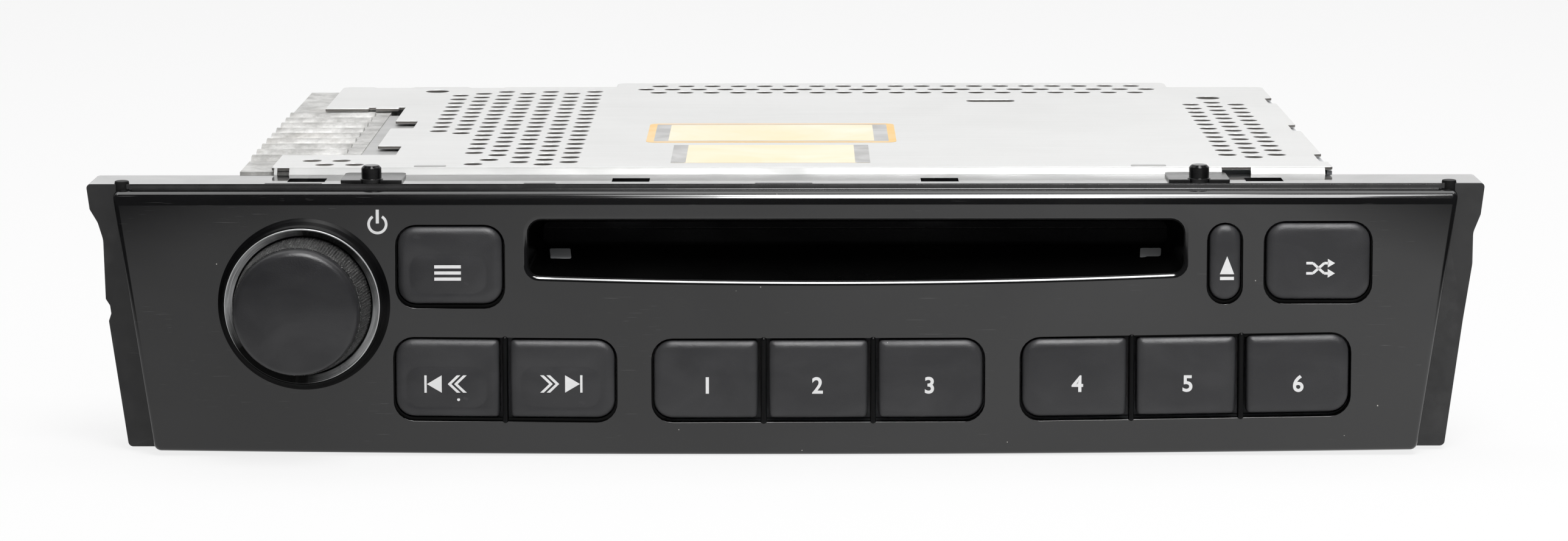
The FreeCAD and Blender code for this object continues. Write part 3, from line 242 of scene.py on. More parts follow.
def circle(x: float, z: float, radius: float, count: int = 24) -> list[Point]:
    """Returns the points of a circle."""
    turns = [2 * math.pi * i / count for i in range(count)]
    return [(x + radius * math.cos(a), z + radius * math.sin(a)) for a in turns]


def bowed(x0: float, x1: float, end: float, middle: float) -> list[Corner]:
    """Gives the inner corners of an edge that is bowed from its ends to its middle.

    Args:
        x0: Where the edge starts.
        x1: Where it ends.
        end: Its height at both ends.
        middle: Its height at its middle.

    Returns:
        The corners between the ends.
    """
    corners = []
    for i in range(1, BOW_STEPS):
        s = 2.0 * i / BOW_STEPS - 1.0
        corners.append((x0 + (x1 - x0) * i / BOW_STEPS, middle + (end - middle) * s * s, 0.0))
    return corners


def lift(x: float, z: float) -> float:
    """Returns how much higher the lower row of keys sits towards the panel's ends."""
    return ROW_RISE * (x - ROW_RISE_X) ** 2 if z < LOWER_ROW_LIMIT else 0.0


def lifted(points: Iterable[Point]) -> list[Point]:
    """Returns an outline raised as the lower row of keys is."""
    return [(x, z + lift(x, z)) for x, z in points]


def flat_form(name: str, loops: Sequence[Sequence[Point]], low: float, high: float,
              plane: Plane, rounding: float = 0.0, segments: int = 3) -> Piece:
    """Makes a plate from outlines and holes, with rounded edges.

    Args:
        name: The piece's name.
        loops: Closed outlines; one that lies inside another is a hole.
        low: Where the plate starts along its thickness.
        high: Where it ends.
        plane: The plane that the outlines are drawn in.
        rounding: The radius of its edges.
        segments: The chords of each rounding.

    Returns:
        The plate, as a mesh in millimetres, or in metres once placed.
    """
    deselect()
    bpy.ops.curve.primitive_bezier_circle_add(radius=1.0)
    piece = bpy.context.object
    curve = piece.data
    curve.splines.clear()
    curve.dimensions = "2D"
    curve.fill_mode = "BOTH"
    for points in loops:
        spline = curve.splines.new("POLY")
        spline.points.add(len(points) - 1)
        for target, (a, b) in zip(spline.points, points):
            target.co = (a, b, 0.0, 1.0)
        spline.use_cyclic_u = True
    curve.extrude = (high - low) / 2 - rounding
    curve.bevel_depth = rounding
    curve.bevel_resolution = max(segments - 2, 0)
    curve.offset = -rounding
    choose(piece)
    bpy.ops.object.convert(target="MESH")
    piece = bpy.context.object
    piece.name = name
    if rounding > 0:
        weigh(piece, "STRONG", lambda polygon: abs(polygon.normal.z) > 0.9999)
    middle = (low + high) / 2
    if plane is Plane.PANEL:
        turn = Matrix(((1, 0, 0, 0), (0, 0, -1, middle), (0, 1, 0, 0), (0, 0, 0, 1)))
    elif plane is Plane.PLAN:
        turn = Matrix.Translation((0, 0, middle))
    else:
        turn = Matrix(((0, 0, 1, middle), (1, 0, 0, 0), (0, 1, 0, 0), (0, 0, 0, 1)))
    place(piece, turn)
    close_up(piece)
    return piece


def close_up(piece: Piece) -> Piece:
    """Merges doubles and turns all faces outwards."""
    with editing(piece):
        bpy.ops.mesh.remove_doubles(threshold=DOUBLES)
        bpy.ops.mesh.normals_make_consistent(inside=False)
        bpy.ops.mesh.select_all(action="DESELECT")
    return piece


def capped(piece: Piece) -> Piece:
    """Closes the open ends of a swept form."""
    with editing(piece):
        bpy.ops.mesh.select_all(action="DESELECT")
        bpy.ops.mesh.select_non_manifold()
        bpy.ops.mesh.edge_face_add()
        bpy.ops.mesh.select_all(action="SELECT")
        bpy.ops.mesh.normals_make_consistent(inside=False)
    return piece


def grid_form(name: str, rows: int, columns: int,
              shape: Callable[[float, float], tuple[float, float, float]]) -> Piece:
    """Shapes a primitive grid into a closed surface.

    Args:
        name: The piece's name.
        rows: Cells along the first direction.
        columns: Cells along the second direction.
        shape: Gives the point, in millimetres, for both directions from 0 to 1.

    Returns:
        The piece, with its seams merged.
    """
    deselect()
    bpy.ops.mesh.primitive_grid_add(x_subdivisions=rows, y_subdivisions=columns, size=1.0)
    piece = bpy.context.object
    piece.name = name
    for vertex in piece.data.vertices:
        vertex.co = shape(vertex.co.x + 0.5, vertex.co.y + 0.5)
    return close_up(piece)


def lathe(name: str, profile: Sequence[Point], centre: Point, count: int = 128,
          ripple: Callable[[float, float], float] | None = None) -> Piece:
    """Spins a closed profile about an axis that runs into the panel.

    Args:
        name: The piece's name.
        profile: Points of radius and depth.
        centre: The axis, in the panel frame.
        count: Steps round the axis.
        ripple: Gives what is added to the radius at a depth and an angle.

    Returns:
        The piece, in millimetres in the panel frame.
    """
    loop = list(profile)
    on_axis = loop[0][0] <= 0.0 and loop[-1][0] <= 0.0
    if not on_axis:
        loop.append(loop[0])
    rows = len(loop) - 1

    def shape(u: float, v: float) -> tuple[float, float, float]:
        radius, depth = loop[round(u * rows)]
        angle = 2 * math.pi * v
        if ripple is not None and radius > 0:
            radius += ripple(depth, angle)
        return (centre[0] + radius * math.cos(angle), depth, centre[1] + radius * math.sin(angle))

    return grid_form(name, rows, count, shape)


def softened(node: str, width: float, segments: int = 2, angle: float = 28.0) -> Piece:
    """Copies a CAD node's mesh and rounds its sharp edges, as a mould or a tool leaves them.

    Args:
        node: The node to copy.
        width: The width of each rounding.
        segments: The chords of each rounding.
        angle: The least angle of an edge that is rounded, in degrees.

    Returns:
        The new piece, in metres.
    """
    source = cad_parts[node]
    piece = source.copy()
    piece.data = source.data.copy()
    piece.parent = None
    piece.matrix_world = Matrix.Identity(4)
    bpy.context.scene.collection.objects.link(piece)
    piece.name = node + "_finished"
    with editing(piece):
        bpy.ops.mesh.customdata_custom_splitnormals_clear()
        bpy.ops.mesh.remove_doubles(threshold=DOUBLES * MM)
        bpy.ops.mesh.dissolve_limited(angle_limit=math.radians(1.0))
    modify(piece, "BEVEL", width=width * MM, segments=segments, limit_method="ANGLE",
           angle_limit=math.radians(angle), use_clamp_overlap=True, face_strength_mode="FSTR_AFFECTED")
    return smooth(piece)


def attach(piece: Piece, finish: bpy.types.Material, body: str, slot: str, *nodes: str) -> Piece:
    """Gives a piece its finish and its body, and hides the nodes that it stands for.

    Args:
        piece: The finished piece, in metres.
        finish: Its material.
        body: The CAD body that carries it.
        slot: The record's material slot; not used.
        *nodes: The CAD nodes that it replaces.

    Returns:
        The same piece.
    """
    piece.data.materials.clear()
    piece.data.materials.append(finish)
    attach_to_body(piece, body)
    if nodes:
        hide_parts(*nodes)
    LOG.info("%s on %s, %d faces", piece.name, body, len(piece.data.polygons))
    return piece


# Shader effects

def linear(red: float, green: float, blue: float) -> tuple[float, float, float, float]:
    """Turns a colour as seen on a screen, 0 to 255, into the shader's linear colour."""
    def channel(value: float) -> float:
        share = value / 255.0
        return share / 12.92 if share <= 0.04045 else ((share + 0.055) / 1.055) ** 2.4
    return (channel(red), channel(green), channel(blue), 1.0)


class Sheet:
    """A node tree with short calls to add and join nodes."""

    def __init__(self, tree: bpy.types.NodeTree) -> None:
        """Keeps the tree that nodes are added to."""
        self.tree = tree

    def add(self, kind: str, settings: dict[str, object] | None = None,
            **inputs: object) -> Node:
        """Adds a node.

        Args:
            kind: The node's type without its prefix.
            settings: Properties of the node itself.
            **inputs: Socket values or sockets, by the socket's name with _ for a space.

        Returns:
            The node.
        """
        node = self.tree.nodes.new("ShaderNode" + kind)
        for key, value in (settings or {}).items():
            setattr(node, key, value)
        for key, value in inputs.items():
            self.give(node.inputs[key.replace("_", " ")], value)
        return node

    def give(self, socket: Socket, value: object) -> None:
        """Links a socket to another, or sets its value."""
        if isinstance(value, Socket):
            self.tree.links.new(value, socket)
        else:
            socket.default_value = value

    def maths(self, operation: str, *values: object) -> Socket:
        """Adds a Math node and returns its result."""
        node = self.add("Math", {"operation": operation})
        for socket, value in zip(node.inputs, values):
            self.give(socket, value)
        return node.outputs[0]

    def spread(self, value: object, low: float, high: float, to_low: object = 0.0,
               to_high: object = 1.0) -> Socket:
        """Maps a value from one range to another, clamped, and returns the result."""
        node = self.add("MapRange", {"clamp": True})
        for name, item in (("Value", value), ("From Min", low), ("From Max", high),
                           ("To Min", to_low), ("To Max", to_high)):
            self.give(node.inputs[name], item)
        return node.outputs["Result"]

    def blend(self, share: object, first: object, second: object) -> Socket:
        """Mixes two colours and returns the result."""
        node = self.add("Mix", {"data_type": "RGBA"})
        self.give(node.inputs[0], share)
        self.give(node.inputs[6], first)
        self.give(node.inputs[7], second)
        return node.outputs[2]

    def stretched(self, x: float, y: float, z: float, turn: float = 0.0) -> Socket:
        """Returns Object coordinates scaled along each axis and turned about Y."""
        where = self.add("TexCoord").outputs["Object"]
        turned = self.add("Mapping", Vector=where, Rotation=(0.0, turn, 0.0), Scale=(x, y, z))
        return turned.outputs["Vector"]

    def where(self, kind: str = "Object") -> Socket:
        """Returns texture coordinates of one kind."""
        return self.add("TexCoord").outputs[kind]

    def axes(self, kind: str = "Object") -> tuple[Socket, Socket, Socket]:
        """Returns the three parts of texture coordinates of one kind."""
        parts = self.add("SeparateXYZ", Vector=self.where(kind)).outputs
        return parts["X"], parts["Y"], parts["Z"]

    def times(self, first: object, *others: object) -> Socket:
        """Multiplies values and returns the result."""
        for value in others:
            first = self.maths("MULTIPLY", first, value)
        return first

    def noise(self, where: Socket, scale: object, detail: float = 2.0, **inputs: float) -> Socket:
        """Adds a noise texture and returns its value."""
        return self.add("TexNoise", Vector=where, Scale=scale, Detail=detail, **inputs).outputs[0]

    def roughen(self, shader: Node, strength: float, distance: float, height: Socket) -> None:
        """Gives a shader the bump of a height."""
        bump = self.add("Bump", Strength=strength, Distance=distance, Height=height)
        self.give(shader.inputs["Normal"], bump.outputs["Normal"])

    def rays(self) -> tuple[Socket, Socket]:
        """Tells whether a ray is glossy, and whether it comes from the camera, straight or through glass."""
        path = self.add("LightPath").outputs
        return path["Is Glossy Ray"], self.maths("ADD", path["Is Camera Ray"], path["Is Transmission Ray"])


def effect(name: str, inputs: dict[str, float], outputs: Sequence[str]) -> tuple[Sheet, dict, Node]:
    """Starts a shader node group.

    Args:
        name: The group's name.
        inputs: Its number inputs and their defaults.
        outputs: Its number outputs.

    Returns:
        The group's sheet, its input sockets by name and its output node.
    """
    tree = bpy.data.node_groups.new(name, "ShaderNodeTree")
    for label, value in inputs.items():
        socket = tree.interface.new_socket(label, in_out="INPUT", socket_type="NodeSocketFloat")
        socket.default_value = value
    for label in outputs:
        tree.interface.new_socket(label, in_out="OUTPUT", socket_type="NodeSocketFloat")
    start = tree.nodes.new("NodeGroupInput")
    end = tree.nodes.new("NodeGroupOutput")
    return Sheet(tree), {label: start.outputs[label] for label in inputs}, end


class Effects:
    """The surface effects that several finishes share."""

    def __init__(self) -> None:
        """Builds each effect once."""
        self.groups = {
            "grain": self.grain(), "smears": self.smears(), "dust": self.dust(),
            "scratches": self.scratches(), "wear": self.wear(), "streaks": self.streaks(),
        }

    def use(self, sheet: Sheet, name: str, **inputs: float) -> Socket:
        """Places an effect in a material and returns its mask or height."""
        node = sheet.add("Group", {"node_tree": self.groups[name]}, **inputs)
        return node.outputs[0]

    def grain(self) -> bpy.types.NodeTree:
        """Fine moulded or cast grain, as a height."""
        sheet, given, end = effect("surface grain", {"Scale": 3000.0}, ["Height"])
        where = sheet.where()
        fine = sheet.noise(where, given["Scale"], 3.0, Roughness=0.6)
        cells = sheet.add("TexVoronoi", {"feature": "SMOOTH_F1"}, Vector=where,
                          Scale=sheet.times(given["Scale"], 0.6))
        height = sheet.maths("ADD", fine, sheet.times(cells.outputs["Distance"], 0.6))
        sheet.give(end.inputs["Height"], height)
        return sheet.tree

    def smears(self) -> bpy.types.NodeTree:
        """Broad, soft patches where a surface was touched or wiped, as a mask."""
        sheet, given, end = effect("handling smears", {"Scale": 20.0}, ["Mask"])
        patch = sheet.noise(sheet.stretched(1.0, 1.0, 1.7, 0.5), given["Scale"], 5.0, Distortion=1.2)
        sheet.give(end.inputs["Mask"], sheet.spread(patch, 0.38, 0.68))
        return sheet.tree

    def dust(self) -> bpy.types.NodeTree:
        """Sparse bright specks, as a mask."""
        sheet, given, end = effect("dust specks", {"Scale": 400.0, "Share": 0.04, "Size": 0.09}, ["Mask"])
        cells = sheet.add("TexVoronoi", Vector=sheet.where(), Scale=given["Scale"])
        parts = sheet.add("SeparateColor", Color=cells.outputs["Color"])
        chosen = sheet.maths("LESS_THAN", parts.outputs[0], given["Share"])
        reach = sheet.times(given["Size"], parts.outputs[1])
        near = sheet.maths("LESS_THAN", cells.outputs["Distance"], reach)
        sheet.give(end.inputs["Mask"], sheet.times(chosen, near))
        return sheet.tree

    def scratches(self) -> bpy.types.NodeTree:
        """Short hairline scratches in two directions, as a mask."""
        sheet, given, end = effect("hairline scratches", {"Share": 0.5}, ["Mask"])
        lines = []
        for turn, scale in ((0.35, 130.0), (-1.1, 170.0)):
            line = sheet.noise(sheet.stretched(1.0, 1.0, 60.0, turn), scale, 1.0)
            lines.append(sheet.spread(line, 0.755, 0.8))
        allowed = sheet.maths("LESS_THAN", sheet.noise(sheet.where(), 45.0), given["Share"])
        sheet.give(end.inputs["Mask"], sheet.times(sheet.maths("MAXIMUM", *lines), allowed))
        return sheet.tree

    def wear(self) -> bpy.types.NodeTree:
        """Rubbed outer edges, as a mask."""
        sheet, given, end = effect("edge wear", {"Reach": 0.06}, ["Mask"])
        point = sheet.add("NewGeometry").outputs["Pointiness"]
        edge = sheet.spread(point, 0.505, sheet.maths("ADD", 0.505, given["Reach"]))
        patch = sheet.spread(sheet.noise(sheet.where(), 260.0, 4.0), 0.35, 0.7)
        sheet.give(end.inputs["Mask"], sheet.times(edge, patch))
        return sheet.tree

    def streaks(self) -> bpy.types.NodeTree:
        """The fine lines that rolling leaves along sheet metal, as a tone."""
        sheet, given, end = effect("rolling streaks", {"Scale": 60.0}, ["Tone"])
        lines = sheet.noise(sheet.stretched(1.0, 22.0, 22.0), given["Scale"], 6.0, Roughness=0.65)
        sheet.give(end.inputs["Tone"], sheet.spread(lines, 0.3, 0.7))
        return sheet.tree


EFFECTS = Effects()


# Finishes

@dataclass(frozen=True)
class Finish:
    """A surface with grain, smears, dust, scratches and worn edges.

    Attributes:
        name: The material's name.
        colour: Its colour, 0 to 255.
        metallic: 1 for bare metal.
        roughness: The middle of its roughness.
        swing: How far smears move the roughness.
        tone: How far smears lighten the colour, as a share.
        grain: Scale of the grain per metre.
        depth: Strength of the grain's bump.
        dust: Share of cells with a speck.
        dust_scale: Cells per metre.
        scratch: Share of the surface with scratches.
        wear: How much worn edges lighten.
        streak: Scale of rolling streaks, 0 for none.
        coat: Weight of a clear coat.
        specular: Strength of its reflections.
        sheen: Weight of the fuzz of cloth.
    """

    name: str
    colour: tuple[float, float, float]
    metallic: float = 0.0
    roughness: float = 0.4
    swing: float = 0.08
    tone: float = 0.06
    smear_scale: float = 24.0
    grain: float = 3000.0
    depth: float = 0.08
    dust: float = 0.0
    dust_scale: float = 400.0
    scratch: float = 0.0
    wear: float = 0.0
    streak: float = 0.0
    coat: float = 0.0
    specular: float = 0.5
    sheen: float = 0.0

    def lighter(self, share: float) -> tuple[float, float, float, float]:
        """Returns the colour moved towards white."""
        base = linear(*self.colour)
        return tuple(c + (1.0 - c) * share for c in base[:3]) + (1.0,)

    def colour_socket(self, sheet: Sheet) -> Socket:
        """Builds the colour from the effects and returns its socket."""
        smears = EFFECTS.use(sheet, "smears", Scale=self.smear_scale)
        shade = sheet.blend(smears, linear(*self.colour), self.lighter(self.tone))
        if self.streak > 0:
            lines = EFFECTS.use(sheet, "streaks", Scale=self.streak)
            shade = sheet.blend(sheet.spread(lines, 0, 1, 0, 0.5), shade, self.lighter(self.tone * 2))
        if self.wear > 0:
            shade = sheet.blend(EFFECTS.use(sheet, "wear"), shade, self.lighter(self.wear))
        if self.scratch > 0:
            marks = EFFECTS.use(sheet, "scratches", Share=self.scratch)
            shade = sheet.blend(sheet.spread(marks, 0, 1, 0, 0.3), shade, self.lighter(0.2))
        if self.dust > 0:
            specks = EFFECTS.use(sheet, "dust", Share=self.dust, Scale=self.dust_scale)
            shade = sheet.blend(specks, shade, linear(196, 194, 188))
        return shade

    def material(self) -> bpy.types.Material:
        """Builds the material and returns it."""
        material = bpy.data.materials.new(self.name)
        material.use_nodes = True
        sheet = Sheet(material.node_tree)
        shader = material.node_tree.nodes["Principled BSDF"]
        sheet.give(shader.inputs["Base Color"], self.colour_socket(sheet))
        shader.inputs["Metallic"].default_value = self.metallic
        shader.inputs["Specular IOR Level"].default_value = self.specular
        shader.inputs["Coat Weight"].default_value = self.coat
        shader.inputs["Sheen Weight"].default_value = self.sheen
        patches = EFFECTS.use(sheet, "smears", Scale=self.smear_scale * 1.7)
        least = max(self.roughness - self.swing, 0.02)
        rough = sheet.spread(patches, 0, 1, least, self.roughness + self.swing)
        sheet.give(shader.inputs["Roughness"], rough)
        sheet.roughen(shader, self.depth, 0.00012, EFFECTS.use(sheet, "grain", Scale=self.grain))
        self.extra(sheet, shader)
        return material

    def extra(self, sheet: Sheet, shader: Node) -> None:
        """Adds what only one kind of finish has."""


@dataclass(frozen=True)
class CutSheetFinish(Finish):
    """Pale sheet metal whose cut edges are darker than its faces."""

    def colour_socket(self, sheet: Sheet) -> Socket:
        """Darkens the upright edges of the sheet."""
        shade = super().colour_socket(sheet)
        upright = sheet.maths("ABSOLUTE", sheet.axes("Normal")[2])
        edge = sheet.spread(upright, 0.3, 0.7, 1.0, 0.0)
        return sheet.blend(edge, shade, linear(128, 125, 121))


@dataclass(frozen=True)
class CastFinish(Finish):
    """Bare cast aluminium with its mottled skin and darker hollows."""

    def extra(self, sheet: Sheet, shader: Node) -> None:
        """Mottles the colour and dents the skin."""
        where = sheet.where()
        blotch = sheet.noise(where, 140.0, 8.0, Roughness=0.7)
        pits = sheet.add("TexVoronoi", Vector=where, Scale=900.0)
        low = linear(*[c * 0.78 for c in self.colour])
        shade = sheet.blend(sheet.spread(blotch, 0.36, 0.64), low, self.lighter(0.25))
        stain = sheet.spread(sheet.noise(where, 38.0, 3.0), 0.55, 0.75, 0, 0.3)
        sheet.give(shader.inputs["Base Color"], sheet.blend(stain, shade, linear(158, 146, 132)))
        height = sheet.maths("ADD", blotch, sheet.times(pits.outputs["Distance"], 0.5))
        sheet.roughen(shader, 0.55, 0.0003, height)


@dataclass(frozen=True)
class BoardFinish(Finish):
    """A circuit board with tracks under its green varnish."""

    def extra(self, sheet: Sheet, shader: Node) -> None:
        """Draws tracks and pads in a second tone."""
        where = sheet.where()
        lines = sheet.add("TexBrick", {"offset": 0.37, "squash": 1.4}, Vector=where, Scale=95.0)
        lines.inputs["Mortar Size"].default_value = 0.035
        lines.inputs["Color1"].default_value = (0, 0, 0, 1)
        lines.inputs["Color2"].default_value = (0, 0, 0, 1)
        lines.inputs["Mortar"].default_value = (1, 1, 1, 1)
        pads = sheet.add("TexVoronoi", Vector=where, Scale=260.0)
        track = sheet.blend(lines.outputs["Color"], linear(*self.colour), self.lighter(0.12))
        dots = sheet.maths("LESS_THAN", pads.outputs["Distance"], 0.14)
        sheet.give(shader.inputs["Base Color"], sheet.blend(dots, track, linear(186, 176, 150)))


@dataclass(frozen=True)
class SpeckledFinish(Finish):
    """The knob's leathery skirt, with bright specks on a dark ground, which are partly its own speckle and
    partly painted glints.
    """

    def extra(self, sheet: Sheet, shader: Node) -> None:
        """Scatters the bright specks, partly painted glints, and raises them."""
        where = sheet.where()
        tip_speck_and_glint_noise = sheet.noise(where, 5200.0, Roughness=0.6)
        gate = sheet.spread(sheet.noise(where, 700.0), 0.3, 0.6, 0.45, 1.0)
        share = sheet.times(sheet.spread(tip_speck_and_glint_noise, 0.55, 0.66), gate)
        # The bright specks are partly the skirt's own speckle and partly painted glints of light.
        shade = sheet.blend(share, linear(*self.colour), linear(186, 186, 184))
        sheet.give(shader.inputs["Base Color"], shade)
        sheet.roughen(shader, self.depth, 0.0002, tip_speck_and_glint_noise)


@dataclass(frozen=True)
class TurnedFinish(Finish):
    """The knob's turned metal ring, whose fine grooves run round its axis, with light and shade painted into
    its colour.
    """

    def extra(self, sheet: Sheet, shader: Node) -> None:
        """Draws the grooves, and paints into the colour the fans of light and shade that turned metal shows,
        with a painted highlight on its outer edge.
        """
        x, _, z = sheet.axes()
        x = sheet.maths("SUBTRACT", x, KNOB[0] * MM)
        z = sheet.maths("SUBTRACT", z, KNOB[1] * math.cos(LEAN) * MM)
        radius = sheet.maths("SQRT", sheet.maths("ADD", sheet.times(x, x), sheet.times(z, z)))
        angle = sheet.maths("ARCTAN2", z, x)
        around = sheet.add("CombineXYZ", X=sheet.times(radius, 9000.0), Y=sheet.times(angle, 1.6))
        grooves = sheet.noise(around.outputs[0], 1.0, 3.0, Roughness=0.7)
        # Painted light and shade: bright and dark sectors round the axis, like the fans that turned metal
        # reflects, set in the colour.
        painted_fan_noise = sheet.noise(sheet.add("CombineXYZ", X=angle).outputs[0], 2.2, 4.0)
        turned = sheet.maths("COSINE", sheet.times(sheet.maths("ADD", angle, 0.45), 2.0))
        painted_light_fan = sheet.maths("ADD", sheet.times(turned, 0.8), sheet.spread(painted_fan_noise, 0.3, 0.7, 0.0, 0.6))
        share = sheet.times(sheet.spread(painted_light_fan, -0.2, 0.9), sheet.spread(grooves, 0.32, 0.58, 0.2, 1.0))
        # Painted highlight: a bright line on the ring's outer front edge.
        share = sheet.maths("MAXIMUM", share, sheet.spread(radius, 0.01501, 0.01504, 0.0, 0.8))
        # The dark end of this blend is painted shade between the fans.
        sheet.give(shader.inputs["Base Color"], sheet.blend(share, linear(40, 40, 40), linear(*self.colour)))
        sheet.roughen(shader, self.depth, 0.0001, grooves)


@dataclass(frozen=True)
class LensFinish(Finish):
    """The pickup's coated lens."""

    def extra(self, sheet: Sheet, shader: Node) -> None:
        """Lets light through and gives it a clear coat."""
        shader.inputs["Transmission Weight"].default_value = 0.6
        shader.inputs["IOR"].default_value = 1.5
        shader.inputs["Coat Weight"].default_value = 1.0


class Finishes:
    """All the finishes of the player, built once."""

    LIST: tuple[Finish, ...] = (
        Finish("panel gloss black", (16, 16, 17), roughness=0.1, swing=0.04, tone=0.006, smear_scale=9.0,
               grain=900.0, depth=0.004, dust=0.05, dust_scale=620.0, scratch=0.44, specular=0.42, coat=1.0),
        Finish("frame gloss black", (17, 17, 18), roughness=0.2, swing=0.06, tone=0.008, grain=700.0,
               depth=0.01, dust=0.02, scratch=0.4, wear=0.02, specular=0.1, coat=1.0),
        # Painted shade: a darker, duller copy of the panel's black, for the slot's funnel and the walls
        # inside the key openings.
        Finish("slot black painted shade", (4, 4, 4), roughness=0.3, swing=0.05, tone=0.001, grain=900.0, depth=0.01,
               dust=0.004, specular=0.15),
        # Painted shade: a darker, duller copy of the panel's black, for the knob's collar and the ribs
        # between keys.
        Finish("collar black painted shade", (8, 8, 9), roughness=0.36, swing=0.06, tone=0.003, grain=1800.0, depth=0.04,
               dust=0.01, specular=0.16),
        Finish("key soft black", (50, 50, 52), roughness=0.42, swing=0.04, tone=0.012, smear_scale=60.0,
               grain=5200.0, depth=0.26, dust=0.012, wear=0.02),
        Finish("cap soft black", (42, 42, 44), roughness=0.33, swing=0.05, tone=0.012, smear_scale=50.0,
               grain=5200.0, depth=0.24, dust=0.008),
        SpeckledFinish("skirt dark grey", (20, 20, 21), roughness=0.42, swing=0.08, tone=0.05, depth=0.6),
        TurnedFinish("bright ring", (246, 247, 248), metallic=0.35, roughness=0.24, swing=0.06, depth=0.12),
        Finish("clip black steel", (9, 9, 10), roughness=0.2, swing=0.05, tone=0.004, grain=2600.0,
               depth=0.05, dust=0.02, wear=0.06, specular=0.22),
        Finish("peg black", (16, 16, 16), roughness=0.6, tone=0.008, grain=3000.0, depth=0.2, specular=0.3),
        CutSheetFinish("cover steel", (215, 215, 214), metallic=0.25, roughness=0.5, swing=0.06, tone=0.12,
               smear_scale=14.0, grain=2400.0, depth=0.05, scratch=0.45, streak=34.0),
        # Painted shade: a darker copy of the cover steel, for its folded front edge, the shelf and the
        # embossed patches.
        Finish("cover bend painted shade", (158, 158, 157), metallic=0.2, roughness=0.4, swing=0.05, tone=0.15,
               smear_scale=30.0, grain=2400.0, depth=0.05, scratch=0.4, streak=20.0),
        Finish("chassis steel", (198, 200, 203), metallic=0.7, roughness=0.36, swing=0.08, tone=0.15,
               smear_scale=16.0, grain=2400.0, depth=0.06, scratch=0.5, streak=40.0),
        CastFinish("cast aluminium", (208, 207, 204), metallic=0.3, roughness=0.55, swing=0.1, tone=0.2),
        BoardFinish("board green", (30, 70, 46), roughness=0.3, swing=0.08, coat=0.4),
        Finish("chip black", (26, 26, 27), roughness=0.55, tone=0.03, grain=6000.0, depth=0.3),
        Finish("capacitor sleeve", (24, 26, 44), roughness=0.28, tone=0.03, grain=2000.0, depth=0.05),
        Finish("tinned steel", (196, 198, 200), metallic=0.85, roughness=0.33, tone=0.2, depth=0.05,
               streak=50.0),
        Finish("contact metal", (206, 176, 96), metallic=1.0, roughness=0.26, tone=0.15, depth=0.03),
        Finish("screw steel", (158, 158, 160), metallic=0.9, roughness=0.3, tone=0.15, depth=0.08, wear=0.3),
        Finish("silicone grey", (150, 152, 156), roughness=0.5, tone=0.08, depth=0.1),
        Finish("felt black", (6, 6, 7), roughness=0.95, tone=0.004, grain=2600.0, depth=1.0, specular=0.1,
               sheen=0.06),
        Finish("rubber black", (24, 24, 24), roughness=0.7, tone=0.02, grain=3500.0, depth=0.3, dust=0.02),
        Finish("nylon white", (214, 212, 204), roughness=0.42, tone=0.1, grain=1800.0, depth=0.06),
        Finish("acetal grey", (116, 118, 122), roughness=0.36, tone=0.06, grain=2000.0, depth=0.05),
        Finish("moulding black", (27, 27, 28), roughness=0.42, tone=0.02, grain=3000.0, depth=0.15,
               dust=0.01),
        Finish("motor can", (184, 186, 188), metallic=0.95, roughness=0.26, tone=0.15, depth=0.03,
               streak=80.0),
        LensFinish("coated lens", (120, 110, 150), roughness=0.05, swing=0.01, tone=0.02, depth=0.0),
        Finish("mark white", (240, 240, 240), roughness=0.55, swing=0.05, tone=0.3, smear_scale=300.0,
               grain=6000.0, depth=0.1),
        # Painted light: the pale grey stands for the lit floor seen through two holes in the slot's lower
        # wall.
        Finish("slot pad painted light", (150, 152, 154), roughness=0.7, tone=0.1, grain=2600.0, depth=0.3),
        Finish("sticker cream", (244, 228, 192), roughness=0.48, swing=0.05, tone=0.3, smear_scale=40.0,
               grain=3600.0, depth=0.06),
        Finish("sticker orange", (238, 196, 122), roughness=0.48, swing=0.05, tone=0.15, smear_scale=60.0,
               grain=3600.0, depth=0.06),
        Finish("sticker grey", (172, 171, 170), roughness=0.5, swing=0.05, tone=0.3, smear_scale=80.0,
               grain=3600.0, depth=0.06),
    )

    def __init__(self) -> None:
        """Builds each material by its name."""
        self.made = {item.name: item.material() for item in self.LIST}

    def __getitem__(self, name: str) -> bpy.types.Material:
        """Returns a material by its name."""
        return self.made[name]


# Front panel

@dataclass
class KeyShape:
    """One key: its edges, corner radii and the sunken outline of the pad that some keys have."""

    node: str
    edges: Edges
    radii: Edges
    pad: Edges | None = None


